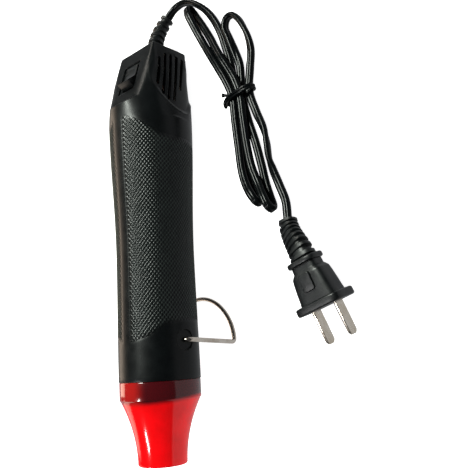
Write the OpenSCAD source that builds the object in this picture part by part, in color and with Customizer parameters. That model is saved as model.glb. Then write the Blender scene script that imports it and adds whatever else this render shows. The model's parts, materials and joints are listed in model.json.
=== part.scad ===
// Embossing heat tool: a slim hot-air gun that stands on its folding wire stand.
// Millimetres. X runs from the nozzle to the cord end, Z is up from the table, Y is across.
// The gun's own pieces are drawn along X with the front edge of the housing at 0,
// and in_gun() then leans them onto the stand.

/* [Housing] */
// Diameter where the housing meets the nozzle guard
front_d = 41.4; // [39:0.2:44]
// Diameter at the slim part of the grip
waist_d = 40.6; // [39:0.2:44]
// Distance of the slim part from the front edge
waist_x = 62; // [56:1:72]
// Diameter at the widest part of the grip
belly_d = 45.4; // [43:0.2:50]
// Distance of the widest part from the front edge
belly_x = 141; // [136:1:145]
// Diameter of the round underside at the tail end
tail_d = 41.6; // [40:0.2:45]
// Distance of the end face from the front edge
tail_x = 179.5; // [178:0.5:190]
// Wall of both housing shells
wall = 2.2; // [1.8:0.1:2.4]
// Wall of the end face
end_wall = 2.6; // [2:0.1:3.5]
// Length of the collar that the nozzle guard is pushed onto
spigot_len = 7.6; // [5:0.2:8.4]
// Wall of that collar
spigot_wall = 1.8; // [1.2:0.1:2.6]
// Length of the thick ring behind the collar
root_len = 4; // [3:0.5:8]
// Width of each rib that grips an inner piece
rib_t = 1.3; // [1:0.1:2]

/* [Tail] */
// Start of the step on top that leads down to the switch's flat
top_cut_x = 143; // [140:0.5:146]
// Slope of that step
top_step_angle = 45; // [38:1:60]
// Depth of the switch's flat below the top, at the start of the step
top_step = 3.2; // [2:0.1:3.6]
// Slope of the switch's flat
top_cut_angle = 17.4; // [16:0.1:18.4]
// Start of the two flats that take off the upper corners
corner_cut_x = 148; // [146:0.5:152]
// Slope of the corner flats
corner_cut_angle = 13.2; // [11:0.1:14]
// Turn of the corner flats, away from the top
corner_turn = 40.6; // [38:0.2:44]
// Start of the two side flats that carry the vents
side_cut_x = 140; // [138:0.5:146]
// Slope of the side flats
side_cut_angle = 11.9; // [9:0.1:12.5]
// Slope of the flat below, which starts at the widest part
bottom_cut_angle = 6.2; // [6:0.1:8]
// Number of vent slots in each side
vent_count = 5; // [3:1:5]
// Distance between the slots
vent_pitch = 3.85; // [3.4:0.05:4]
// Width of a slot
vent_w = 1.9; // [1.2:0.1:2.4]
// Slope of the slots, which rise towards the nozzle
vent_tilt = 13.5; // [8:0.5:16]
// Distance of the middle of the slots from the start of the side flat
vent_at = 20.5; // [19:0.5:22]

/* [Nozzle guard] */
// Diameter of the ring that covers the collar
ring_d = 41; // [39.4:0.2:43]
// Length of that ring
ring_len = 8.9; // [8.5:0.1:12]
// Diameter of the flare just ahead of the ring
flare_d = 40.4; // [38.8:0.2:41]
// Outer diameter of the mouth
mouth_d = 24.4; // [23.6:0.2:28]
// Inner diameter of the mouth
mouth_bore_d = 21.6; // [21.2:0.1:22]
// Length of the straight bore in the mouth
mouth_bore_len = 4; // [3:0.5:6]
// Length of the flare, from the ring to the rim
flare_len = 31.5; // [28:0.5:36]
// Wall of the guard
guard_wall = 1.6; // [1.2:0.1:2]

/* [Heater] */
// Outer diameter of the steel outlet tube
tube_d = 20.6; // [19:0.1:21]
// Wall of the outlet tube
tube_wall = 0.5; // [0.4:0.1:0.8]
// Distance of the tube's front end behind the rim of the guard
tube_recess = 4.5; // [4.2:0.1:8]
// Distance of the tube's back flange from the front edge of the housing
tube_back_x = 30; // [27:0.5:32]
// Diameter of the tube's back flange
tube_flange_d = 34.8; // [33:0.2:35.2]
// Sheet of the flange
flange_t = 0.8; // [0.6:0.1:1.2]
// Thickness of the mica lining
liner_t = 0.4; // [0.3:0.1:0.6]
// Length of the crossed mica boards
former_len = 46; // [38:1:50]
// Thickness of the crossed mica boards
former_t = 0.8; // [0.5:0.1:1.2]
// Width of the boards between their end tabs
former_w = 15.2; // [13:0.2:15.6]
// Length of the end tabs
former_tab = 3; // [2:0.5:5]
// Diameter of the heating wire
coil_wire_d = 0.8; // [0.6:0.1:1]
// Number of turns of the heating wire
coil_turns = 9; // [6:1:10]
// Length of the thermal cut-out
cutout_len = 8; // [6:0.5:10]

/* [Fan and motor] */
// Distance of the fan duct from the front edge of the housing
duct_x = 54; // [50:0.5:56]
// Length of the fan duct
duct_len = 20; // [18:0.5:22]
// Inner diameter of the fan duct
duct_bore_d = 30.4; // [29.8:0.2:31]
// Wall of the fan duct
duct_wall = 1.2; // [1:0.1:1.4]
// Diameter of the ring that seats the duct in the housing
duct_ring_d = 35.2; // [34.8:0.2:35.8]
// Diameter of the fan over its blades
fan_d = 29; // [26:0.2:29.4]
// Diameter of the fan's hub
hub_d = 9; // [7:0.5:12]
// Length of the fan's hub
hub_len = 10; // [8:0.5:11]
// Number of fan blades
blade_count = 6; // [4:1:7]
// Diameter of the motor
motor_d = 24; // [22:0.2:24.4]
// Length of the motor's steel can
can_len = 25; // [22:0.5:28]
// Sheet of the motor's steel can
can_wall = 0.8; // [0.6:0.1:1.2]
// Thickness of the motor's magnets
magnet_t = 1.8; // [1.2:0.1:2.4]
// Gap between the armature and the magnets
air_gap = 0.5; // [0.3:0.1:0.8]
// Length of the motor's plastic end cap
endcap_len = 3.5; // [3:0.5:5]
// Diameter of the motor's shaft
shaft_d = 2; // [1.5:0.1:2.4]
// Length of the motor's solder tabs
terminal_len = 3.5; // [2.5:0.5:5]
// Diameter of the rectifier board
board_d = 25; // [22:0.5:30]
// Thickness of the rectifier board
board_t = 1.6; // [1:0.1:2]

/* [Switch] */
// Distance of the switch's middle from the start of its flat
switch_at = 19; // [18:0.5:20]
// Length of the pocket that the switch sits in
pocket_l = 19.4; // [19.2:0.2:20.4]
// Width of the pocket
pocket_w = 14.2; // [14:0.2:15]
// Depth of the pocket
pocket_depth = 2.2; // [1.8:0.1:2.6]
// Length of the switch body below the pocket
switch_l = 17.6; // [17.2:0.2:17.8]
// Width of the switch body
switch_w = 12; // [11.6:0.2:12.2]
// Depth of the switch body below the pocket
switch_depth = 10; // [8.5:0.5:11]
// Length of the rocker
rocker_l = 13.4; // [12:0.2:13.6]
// Width of the rocker
rocker_w = 9.2; // [8.4:0.2:9.4]
// Tilt of the rocker to each side
rock_angle = 15; // [10:1:15]

/* [Cord entry] */
// Height of the cord entry, measured from the axis
entry_z = -5; // [-6:0.5:-4]
// Diameter of the boot's neck in the end face
neck_d = 8.4; // [7:0.2:9.4]
// Diameter of the boot's inner flange
boot_flange_d = 12.8; // [11:0.2:14]
// Diameter of the first and of the last rib of the boot
boot_rib_d = [9.8, 7.6];
// Number of ribs on the boot
boot_ribs = 6; // [4:1:7]

/* [Stand] */
// Distance of the stand's pivot from the front edge of the housing
pivot_x = 19; // [17:0.5:20]
// Diameter of the wire
wire_d = 2.3; // [2:0.1:2.6]
// Distance between the middles of the two arms
stand_w = 44.8; // [44.6:0.2:48]
// Length of an arm, from the pivot to the corner of the foot
arm_len = 33.2; // [32:0.2:35]
// Lean of the arms towards the nozzle, measured in the gun
arm_lean = 3.5; // [2:0.5:5]
// Bend radius between the pin and the arm
shoulder_bend_r = 2.6; // [2:0.1:3]
// Bend radius between the arm and the foot
foot_bend_r = 1.8; // [1.6:0.1:2.4]
// Diameter of the dish round each pivot hole
dish_d = 10; // [7:0.5:12]
// Length of the pivot hole's bearing, inwards from the dish
bearing_len = 3.6; // [3:0.2:4]

/* [Cord] */
// Width of the flat twin cord
cord_d = 4.6; // [4:0.1:5]
// Thickness of the folded hank of cord
hank_h = 9; // [7:0.5:12]
// Thickness of the wire tie
tie_t = 1.5; // [1:0.1:1.6]
// Width of the tie along the hank
tie_w = 3; // [2:0.5:4]

/* [Plug] */
// Width of the plug's front flange
flange_w = 25.2; // [23:0.2:27]
// Height of the plug's front flange
flange_h = 18; // [16:0.2:19]
// Thickness of the plug's front flange
plug_flange_t = 3.6; // [2:0.2:5]
// Length of the plug's body behind the flange
plug_body_l = 17.8; // [16:0.2:20]
// Width of the body at the flange and at the boot
plug_body_w = [20, 14.6];
// Height of the body at the flange and at the boot
plug_body_h = [13, 11.4];
// Thickness of the collar between the body and the boot
plug_collar_t = 2.6; // [1.6:0.2:3.4]
// Distance between the middles of the two blades
blade_pitch = 12.7; // [12.7:0.1:12.7]
// Height of a blade
pin_h = 6.3; // [6.1:0.1:6.5]
// Thickness of a blade
pin_t = 1.5; // [1.4:0.1:1.6]
// Length of a blade
pin_len = 16; // [15:0.5:18]
// Width of the first and of the last rib of the plug's boot
plug_rib_w = [13.4, 9.4];
// Number of ribs on the plug's boot
plug_ribs = 6; // [4:1:7]

/* [Screws] */
// Distance of the two screw pairs from the front edge of the housing
screw_x = [44, 124];
// Height of the screws above and below the axis at each pair
screw_z = [9, 13];
// Diameter of the screw shank
screw_d = 2.6; // [2:0.1:2.8]
// Diameter of the screw head
screw_head_d = 5.4; // [4.6:0.2:5.6]
// Thickness of the screw head
screw_head_t = 1.8; // [1.4:0.1:2.2]
// Diameter of the screw bosses
boss_d = 8; // [7.4:0.2:8.4]

/* [Fits] */
// Gap round a piece that is pushed into its seat
seat_gap = 0.1; // [0.05:0.05:0.2]
// Gap round a pin or shaft that turns in its bore
run_gap = 0.05; // [0.02:0.01:0.1]
// Gap round a screw shank that passes through a hole
screw_gap = 0.3; // [0.2:0.1:0.5]

/* [Hidden] */
$fn = 64;

// Colours, as the photograph shows them
black = [0.09, 0.10, 0.10];
red = [0.85, 0.02, 0.05];
steel = [0.78, 0.76, 0.72];
mica = [0.72, 0.66, 0.52];
copper = [0.72, 0.45, 0.25];
green = [0.10, 0.35, 0.20];

// Cutting tools and overlaps inside one solid reach past their faces by this much
over = 0.5;
far = 60;

// Housing profile: the radius eases from one named diameter to the next
function ease(a, b, t) = a + (b - a) * (1 - cos(180 * t)) / 2;
function body_r(x) =
    x < waist_x ? ease(front_d / 2, waist_d / 2, max(x, 0) / waist_x)
    : x < belly_x ? ease(waist_d / 2, belly_d / 2, (x - waist_x) / (belly_x - waist_x))
    : ease(belly_d / 2, tail_d / 2, min((x - belly_x) / (tail_x - belly_x), 1));
function stations(from, to, steps) = [for (i = [0:steps - 1]) from + (to - from) * i / steps];
body_stations = concat(
    stations(0, waist_x, 5), stations(waist_x, belly_x, 7), stations(belly_x, tail_x, 4), [tail_x]
);
function top_flat_z(x) = body_r(top_cut_x) - top_step - (x - top_cut_x) * tan(top_cut_angle);

// Collar, guard and outlet tube
spigot_r = ring_d / 2 - guard_wall - seat_gap;
spigot_bore_r = spigot_r - spigot_wall;
guard_len = ring_len + flare_len;
function flare_r(t) = mouth_d / 2 + (flare_d - mouth_d) / 2 * pow(1 - t / flare_len, 2);
flare_steps = 8;
tube_front_x = tube_recess - guard_len;
liner_r = tube_d / 2 - tube_wall - run_gap;
former_r = liner_r - liner_t - run_gap;
former_back_x = tube_back_x - former_tab;
former_front_x = former_back_x - former_len;
coil_turn_steps = 14;
coil_r = (former_w / 2 + coil_wire_d / 2 + seat_gap) / cos(180 / coil_turn_steps);
coil_x0 = former_front_x + former_tab + coil_wire_d;
coil_x1 = former_back_x - former_tab - cutout_len - coil_wire_d;

// Fan and motor
duct_r = duct_bore_d / 2 + duct_wall;
duct_ring_x = duct_x + duct_len * 0.4;
duct_ring_t = 2.4;
fan_x = duct_x + duct_len * 0.45;
cup_wall = 1.3;
cup_x = duct_x + duct_len - 2;
cup_len = 16;
lip_t = 1.2;
can_x = cup_x + lip_t;
endcap_x = can_x + can_len;
terminal_x = endcap_x + endcap_len;
board_x = terminal_x + terminal_len;
board_back_x = board_x + board_t;
shaft_front_x = fan_x - hub_len / 2 + 1;

// Leads
lead_d = 1.2;
channel_r = duct_r + seat_gap + lead_d / 2;
channel_half = 3.2;

// Switch
pocket_wall = 1.8;
bezel_t = 1.2;
bezel_top = bezel_t - pocket_depth;
rocker_pivot_z = -2.5;
rocker_rise = 2.4;
rocker_pin_d = 1.8;
well_l = rocker_l + 2.6;
well_w = rocker_w + 0.6;

// Stand and the pose of the gun on it
wire_r = wire_d / 2;
pin_d = wire_d - 0.12;
foot_straight = 0.4;
stand_half = stand_w / 2;
rest_a = arm_len * cos(arm_lean) - belly_d / 2;
rest_b = arm_len * sin(arm_lean) + belly_x - pivot_x;
nose_up = acos(-wire_r / norm([rest_a, rest_b])) - atan2(rest_b, rest_a);
arm_slope = arm_lean + nose_up;
pivot_h = arm_len * cos(arm_slope) + wire_r;
foot_turn = 90 + arm_slope;
foot_tangent = foot_bend_r * tan(foot_turn / 2);
dish_y = body_r(pivot_x) - 0.9;
box_front = -(guard_len + pivot_x) * cos(nose_up) - mouth_d / 2 * sin(nose_up);
box_back = (tail_x - pivot_x) * cos(nose_up) + top_flat_z(tail_x) * sin(nose_up);
pivot_at = [-(box_front + box_back) / 2, 0, pivot_h];

// A point of the gun, given along its axis, across and up, in the frame of the whole tool
function gun_point(x, y, z) = pivot_at + [
    (x - pivot_x) * cos(nose_up) + z * sin(nose_up), y,
    -(x - pivot_x) * sin(nose_up) + z * cos(nose_up)
];
gun_dir = [cos(nose_up), 0, -sin(nose_up)];

// Route of the free cord on the table, chosen by hand
boot_end = [134, -5, 4.6];
exit_route = [boot_end, [137.5, -8.6, 3.2], [139, -14, 2.5], [137.2, -21, 2.5], [130.5, -29.6, 2.5]];
tail_route = [[28, -65, 2.5], [19, -67.4, 2.5], [10, -69.2, 2.7], [1, -70, 4.2]];
// Hank outline: centre and radius of each round end
hank_low = [[16, -57], 11];
hank_waist = [[71, -49.5], 8.6];
hank_high = [[127, -25], 6];
hank_side = [[110, -53.5], 9];
tie_clear = 0.3;

// Plug
plug_tilt = 8;
plug_at = [-42.6, -88.4, flange_h / 2 * cos(plug_tilt) + seat_gap];
plug_turn = 196;
plug_dir = [cos(plug_turn) * cos(plug_tilt), sin(plug_turn) * cos(plug_tilt), -sin(plug_tilt)];
plug_back = plug_at - plug_dir * (plug_flange_t + plug_body_l + plug_collar_t);
plug_entry = tail_route[3];

// Curves and tubes
function unit(v) = v / norm(v);
function curve(a, b, c, d, t) =
    pow(1 - t, 3) * a + 3 * t * pow(1 - t, 2) * b + 3 * t * t * (1 - t) * c + pow(t, 3) * d;
function curve_dir(a, b, c, d, t) =
    unit(pow(1 - t, 2) * (b - a) + 2 * t * (1 - t) * (c - b) + t * t * (d - c));
// A smooth curve through the points of a route
function smooth(p, steps) = concat([
    for (i = [0:len(p) - 2], k = [0:steps - 1])
        let (
            a = p[i], b = p[i + 1],
            ta = (b - p[max(i - 1, 0)]) / (i == 0 ? 1 : 2),
            tb = (p[min(i + 2, len(p) - 1)] - a) / (i == len(p) - 2 ? 1 : 2)
        )
        curve(a, a + ta / 3, b - tb / 3, b, k / steps)
], [p[len(p) - 1]]);
function path_dir(p, i) = unit(p[min(i + 1, len(p) - 1)] - p[max(i - 1, 0)]);

// A closed tube along points, with a radius for each ring
module tube_along(p, radii, sides) {
    rings = [
        for (i = [0:len(p) - 1])
            let (t = path_dir(p, i), ref = abs(t.z) > 0.9 ? [1, 0, 0] : [0, 0, 1])
            let (s = unit(cross(ref, t)), u = cross(t, s))
            for (k = [0:sides - 1])
                p[i] + radii[i] * (cos(360 * k / sides) * s + sin(360 * k / sides) * u)
    ];
    last = (len(p) - 1) * sides;
    polyhedron(rings, concat(
        [[for (k = [0:sides - 1]) k]],
        [[for (k = [0:sides - 1]) last + sides - 1 - k]],
        [
            for (i = [0:len(p) - 2], k = [0:sides - 1])
                let (n = (k + 1) % sides)
                [i * sides + k, (i + 1) * sides + k, (i + 1) * sides + n, i * sides + n]
        ]
    ));
}
module tube_even(p, d, sides) tube_along(p, [for (q = p) d / 2], sides);

// Placing
module in_gun() translate(pivot_at) rotate([0, nose_up, 0]) translate([-pivot_x, 0, 0]) children();
module along_x() rotate([0, 90, 0]) children();
module on_top_flat()
    translate([top_cut_x, 0, top_flat_z(top_cut_x)]) rotate([0, top_cut_angle, 0])
        translate([switch_at, 0, 0]) children();
module on_side_flat()
    rotate([90, 0, 0]) translate([side_cut_x, 0, body_r(side_cut_x)]) rotate([0, side_cut_angle, 0])
        translate([vent_at, 0, 0]) children();
module aimed(point, dir)
    translate(point) rotate([0, acos(dir.z), atan2(dir.y, dir.x)]) children();

// Common shapes
module disc(x, length, r) translate([x, 0, 0]) along_x() cylinder(h = length, r = r);
module ring(x, length, r_out, r_in)
    difference() {
        disc(x, length, r_out);
        disc(x - over, length + 2 * over, r_in);
    }
module round_plate(w, h, r) {
    square([w - 2 * r, h], center = true);
    square([w, h - 2 * r], center = true);
    for (x = [-1, 1], y = [-1, 1]) translate([x * (w / 2 - r), y * (h / 2 - r)]) circle(r);
}
module slot(length, w, depth)
    translate([0, 0, -depth]) linear_extrude(2 * depth) {
        square([length - w, w], center = true);
        for (x = [-1, 1]) translate([x * (length - w) / 2, 0]) circle(w / 2);
    }

// Housing form, drawn inset by the wall for the hollow
module body_form(inset, from, to)
    difference() {
        along_x() rotate_extrude() polygon(concat(
            [[0, from], [body_r(from) - inset, from]],
            [for (x = body_stations) if (x > from && x < to) [body_r(x) - inset, x]],
            [[body_r(to) - inset, to], [0, to]]
        ));
        intersection() {
            flat_cut(0, top_cut_x, top_step_angle, inset);
            flat_cut(0, top_cut_x, top_cut_angle, inset, top_step);
        }
        for (s = [-1, 1]) {
            flat_cut(s * corner_turn, corner_cut_x, corner_cut_angle, inset);
            flat_cut(s * 90, side_cut_x, side_cut_angle, inset);
        }
        flat_cut(180, belly_x, bottom_cut_angle, inset);
    }
module flat_cut(turn, start, slope, inset, drop = 0)
    rotate([turn, 0, 0]) translate([start, 0, body_r(start) - drop]) rotate([0, slope, 0])
        translate([-wall * 3, -far / 2, -inset]) cube([far, far, far / 2]);

// Features that both shells share
module housing_rib(x, bore_r)
    difference() {
        disc(x, rib_t, body_r(x) - wall + over);
        disc(x - over, rib_t + 2 * over, bore_r);
        translate([x - over, -far, -channel_half]) cube([rib_t + 2 * over, far - duct_r, 2 * channel_half]);
    }
module housing_ribs() {
    housing_rib(tube_back_x - rib_t - seat_gap, tube_flange_d / 2 - 2);
    housing_rib(tube_back_x + flange_t + seat_gap, tube_flange_d / 2 - 2);
    housing_rib(duct_ring_x - rib_t - seat_gap, duct_r + seat_gap);
    housing_rib(duct_ring_x + duct_ring_t + seat_gap, duct_r + seat_gap);
}
module pocket_box(grow, floor_z, top_z)
    translate([0, 0, floor_z]) linear_extrude(top_z - floor_z)
        round_plate(pocket_l + 2 * grow, pocket_w + 2 * grow, 1.5 + grow);
module vents()
    on_side_flat() rotate([0, 0, -vent_tilt]) for (i = [0:vent_count - 1]) {
        step = i - (vent_count - 1) / 2;
        translate([step < 0 ? 1 : 0, -step * vent_pitch, 0])
            slot(30 - 3.2 * step * step + (step > 0 ? 0 : 2 * step), vent_w, wall * 2);
    }
module clamp_post(side)
    translate([clamp_x, side * clamp_y, -far / 2]) cylinder(h = far / 2 + clamp_z, d = clamp_post_d);
clamp_x = tail_x - end_wall - 6.2;
clamp_y = 6.2;
clamp_z = entry_z + cord_d * 0.36;
clamp_post_d = 4.4;
clamp_screw_d = 1.8;

// One whole housing, before it is split along the middle
module housing() {
    difference() {
        union() {
            difference() {
                union() {
                    body_form(0, 0, tail_x);
                    disc(-spigot_len, spigot_len + over, spigot_r);
                }
                body_form(wall, root_len, tail_x - end_wall);
                disc(-spigot_len - over, spigot_len + root_len + 2 * over, spigot_bore_r);
            }
            housing_ribs();
            intersection() {
                union() {
                    on_top_flat() pocket_box(pocket_wall, -pocket_depth - pocket_wall, over);
                    for (s = [-1, 1]) clamp_post(s);
                    for (s = [-1, 1]) scale([1, s, 1]) translate([pivot_x, dish_y - bearing_len, 0])
                        rotate([-90, 0, 0]) cylinder(h = bearing_len, d = 3.2 * wire_d);
                }
                body_form(wall / 2, root_len - over, tail_x);
            }
        }
        on_top_flat() {
            pocket_box(0, -pocket_depth, far / 4);
            translate([0, 0, -far / 4])
                linear_extrude(far / 2)
                    square([switch_l + 2 * seat_gap, switch_w + 2 * seat_gap], center = true);
        }
        for (s = [0, 1]) mirror([0, s, 0]) {
            vents();
            translate([pivot_x, 0, 0]) rotate([90, 0, 0]) {
                translate([0, 0, dish_y]) cylinder(h = far / 4, d = dish_d);
                translate([0, 0, dish_y - bearing_len - over])
                    cylinder(h = bearing_len + 2 * over, d = pin_d + 2 * run_gap);
            }
        }
        translate([0, 0, entry_z])
            disc(tail_x - end_wall - over, end_wall + 2 * over, neck_d / 2 + seat_gap);
        for (s = [-1, 1]) translate([clamp_x, s * clamp_y, clamp_z - 8])
            cylinder(h = 8 + over, d = clamp_screw_d + 2 * run_gap);
    }
}
module half_space(side) translate([-far, side < 0 ? -far : 0, -far]) cube([5 * far, far, 2 * far]);
function screw_seat(i) =
    sqrt(pow(body_r(screw_x[i]), 2) - pow(screw_z[i] + screw_head_d / 2, 2)) - screw_head_t - screw_gap;
module at_screws() for (i = [0, 1], s = [-1, 1])
    translate([screw_x[i], 0, s * screw_z[i]]) rotate([-90, 0, 0]) {
        $seat = screw_seat(i);
        children();
    }

module shell_near() color(black) in_gun() difference() {
    intersection() {
        union() {
            housing();
            intersection() {
                at_screws() translate([0, 0, -far / 2]) cylinder(h = far / 2, d = boss_d);
                body_form(wall / 2, root_len, tail_x - end_wall);
            }
        }
        half_space(-1);
    }
    at_screws() translate([0, 0, -9]) cylinder(h = 9 + over, d = screw_d + 2 * run_gap);
}
module shell_far() color(black) in_gun() difference() {
    intersection() {
        union() {
            housing();
            intersection() {
                at_screws() cylinder(h = far / 2, d = boss_d);
                body_form(wall / 2, root_len, tail_x - end_wall);
            }
        }
        half_space(1);
    }
    at_screws() {
        translate([0, 0, -over]) cylinder(h = far / 2, d = screw_d + 2 * screw_gap);
        translate([0, 0, $seat]) cylinder(h = far / 2, d = screw_head_d + 2 * screw_gap);
    }
}
module shell_screws() color(steel) in_gun() at_screws() difference() {
    union() {
        translate([0, 0, -8]) cylinder(h = 8 + $seat + over, d = screw_d);
        translate([0, 0, $seat]) cylinder(h = screw_head_t, d = screw_head_d);
    }
    for (a = [0, 90]) rotate(a) translate([-1.5, -0.35, $seat + screw_head_t - 0.9]) cube([3, 0.7, 2]);
}

// Nozzle guard: a ring over the collar, then a hollow-sided flare to the mouth
module nozzle_guard() color(red) in_gun() along_x() rotate_extrude() polygon(concat(
    [[ring_d / 2 - guard_wall, 0], [ring_d / 2, 0], [ring_d / 2, -ring_len]],
    [for (i = [0:flare_steps]) let (t = flare_len * i / flare_steps) [flare_r(t), -ring_len - t]],
    [[mouth_bore_d / 2, -guard_len], [mouth_bore_d / 2, mouth_bore_len - guard_len]],
    [
        for (i = [flare_steps - 1:-1:0])
            let (t = (flare_len - mouth_bore_len - 1) * i / flare_steps)
            [max(flare_r(t) - guard_wall, mouth_bore_d / 2), -ring_len - t]
    ],
    [[ring_d / 2 - guard_wall, over - ring_len]]
));

// Hot end
module heat_tube() color(steel) in_gun() {
    ring(tube_front_x, tube_back_x + flange_t - tube_front_x, tube_d / 2, tube_d / 2 - tube_wall);
    ring(tube_back_x, flange_t, tube_flange_d / 2, tube_d / 2 - tube_wall / 2);
}
module mica_liner() color(mica) in_gun()
    ring(former_front_x, former_len + former_tab, liner_r, liner_r - liner_t);
module heater_former() color(mica) in_gun() for (a = [0, 90]) rotate([a, 0, 0])
    intersection() {
        union() {
            translate([former_front_x, -former_t / 2, -former_w / 2]) cube([former_len, former_t, former_w]);
            for (x = [former_front_x, former_back_x - former_tab])
                translate([x, -former_t / 2, -former_r]) cube([former_tab, former_t, 2 * former_r]);
        }
        disc(former_front_x, former_len, former_r);
    }
coil_steps = coil_turn_steps * coil_turns;
module heater_coil() color(steel) in_gun() tube_even([
    for (i = [0:coil_steps])
        let (a = 360 * coil_turns * i / coil_steps)
        [coil_x0 + (coil_x1 - coil_x0) * i / coil_steps, coil_r * cos(a), coil_r * sin(a)]
], coil_wire_d, 6);
module thermal_cutout() color(steel) in_gun()
    translate([coil_x1 + coil_wire_d, former_t / 2 + run_gap, former_t / 2 + run_gap])
        cube([cutout_len, 4, 2.6]);
function heater_lead(s) = smooth([
    [former_back_x + 0.6, -3.4, s * 1.8], [tube_back_x + 6, -channel_r / 2, s * 2],
    [duct_x - 9, 2 * lead_d - channel_r, s * 1.8], [duct_x - 2, -channel_r, s * 1.6],
    [duct_x + duct_len, -channel_r, s * 1.6], [endcap_x, -channel_r, s * 1.6],
    [board_back_x + 3, -12, s * 2], [board_back_x + lead_d / 2, -9, s * 2]
], 3);
module heater_leads() color(red) in_gun() for (s = [-1, 1]) tube_even(heater_lead(s), lead_d, 8);

// Fan and motor
module fan_duct() color(black) in_gun() {
    difference() {
        union() {
            disc(duct_x, duct_len, duct_r);
            disc(duct_ring_x, duct_ring_t, duct_ring_d / 2);
        }
        disc(duct_x - over, duct_len + 2 * over, duct_bore_d / 2);
        translate([duct_ring_x - over, -far, -channel_half])
            cube([duct_ring_t + 2 * over, far - duct_r, 2 * channel_half]);
    }
    difference() {
        union() {
            disc(cup_x, cup_len, motor_d / 2 + seat_gap + cup_wall);
            for (a = [30, 150, 270]) rotate([a, 0, 0])
                translate([cup_x, motor_d / 2, -1.5]) cube([2, duct_r - motor_d / 2 - 0.4, 3]);
        }
        disc(can_x, cup_len, motor_d / 2 + seat_gap);
        disc(cup_x - over, 2 * lip_t, motor_d / 2 - 3);
    }
}
module fan_impeller() color(black) in_gun() difference() {
    union() {
        disc(fan_x - hub_len / 2, hub_len, hub_d / 2);
        intersection() {
            disc(fan_x - hub_len / 2, hub_len, fan_d / 2);
            for (i = [0:blade_count - 1]) rotate([360 * i / blade_count, 0, 0])
                translate([fan_x, 0, hub_d / 2 - over]) rotate([0, 0, 35])
                    translate([-4.4, -0.55, 0]) cube([8.8, 1.1, fan_d / 2]);
        }
    }
    disc(shaft_front_x, far, shaft_d / 2 + 0.02);
}
module motor_shaft() color(steel) in_gun()
    disc(shaft_front_x + 0.1, terminal_x - shaft_front_x - 0.6, shaft_d / 2);
armature_x = can_x + 5;
armature_len = can_len - 11;
magnet_r_out = motor_d / 2 - can_wall - run_gap;
magnet_r_in = magnet_r_out - magnet_t;
armature_r = magnet_r_in - air_gap;
module motor_armature() color(copper) in_gun() difference() {
    union() {
        disc(armature_x, armature_len, armature_r);
        disc(armature_x, armature_len + 3.2, 3);
    }
    disc(armature_x - over, far, shaft_d / 2 + 0.02);
    for (a = [0, 120, 240]) rotate([a, 0, 0])
        translate([armature_x - over, -0.8, armature_r / 2 + 1])
            cube([armature_len + 2 * over, 1.6, armature_r]);
}
module motor_magnets() color(black) in_gun() for (a = [0, 180]) rotate([a, 0, 0])
    translate([armature_x - 1, 0, 0]) along_x() rotate([0, 0, -60]) rotate_extrude(angle = 120)
        translate([magnet_r_in, 0]) square([magnet_r_out - magnet_r_in, armature_len + 2]);
module motor_can() color(steel) in_gun() difference() {
    disc(can_x, can_len, motor_d / 2);
    disc(can_x + 1, can_len, motor_d / 2 - can_wall);
    disc(can_x - over, 2, shaft_d / 2 + run_gap);
}
module motor_endcap() color(black) in_gun() difference() {
    union() {
        disc(endcap_x, endcap_len, motor_d / 2);
        disc(endcap_x - 2, 2 + over, motor_d / 2 - can_wall - run_gap);
    }
    disc(endcap_x - 3, endcap_len + 4, shaft_d / 2 + run_gap);
}
module motor_terminals() color(copper) in_gun() for (s = [-1, 1])
    translate([terminal_x, s * 6 - 0.3, -1.2]) cube([terminal_len, 0.6, 2.4]);
module rectifier_board() color(green) in_gun() disc(board_x, board_t, board_d / 2);
module board_parts() color(black) in_gun() translate([board_x + board_t, 0, 0]) {
    for (y = [-3.4, 3.4], z = [3.4, 7])
        translate([1.35, y - 2.6, z]) rotate([-90, 0, 0]) cylinder(h = 5.2, r = 1.3);
    translate([0, 0, -6.5]) along_x() cylinder(h = 6, r = 3);
}

// Switch
module switch_housing() color(black) in_gun() on_top_flat() difference() {
    union() {
        translate([0, 0, -pocket_depth]) linear_extrude(bezel_t)
            round_plate(pocket_l - 2 * seat_gap, pocket_w - 2 * seat_gap, 1.3);
        translate([-switch_l / 2, -switch_w / 2, -pocket_depth - switch_depth])
            cube([switch_l, switch_w, switch_depth + over]);
    }
    translate([-well_l / 2, -well_w / 2, rocker_pivot_z - 5]) cube([well_l, well_w, far]);
    translate([0, -rocker_w / 2 - 1, rocker_pivot_z]) rotate([-90, 0, 0])
        cylinder(h = rocker_w + 2, d = rocker_pin_d + 2 * run_gap);
}
rocker_end_z = rocker_rise + rocker_l / 2 * tan(rock_angle);
module switch_rocker() color(black) in_gun() on_top_flat()
    translate([0, 0, rocker_pivot_z]) rotate([0, rock_angle, 0]) rotate([90, 0, 0]) {
        linear_extrude(rocker_w, center = true) polygon([
            [-rocker_l / 2, rocker_end_z], [-rocker_l / 2, -0.6], [-3.4, -2.4],
            [3.4, -2.4], [rocker_l / 2, -0.6], [rocker_l / 2, rocker_end_z], [0, rocker_rise]
        ]);
        cylinder(h = rocker_w + 1.6, d = rocker_pin_d, center = true);
    }
terminal_z = -pocket_depth - switch_depth;
tab_l = 6;
tab_w = 4.8;
tab_t = 0.8;
tab_pitch = 6;
module switch_terminals() color(copper) in_gun() on_top_flat() for (x = [-tab_pitch, 0])
    translate([x - tab_t / 2, -tab_w / 2, terminal_z - tab_l]) cube([tab_t, tab_w, tab_l]);
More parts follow.
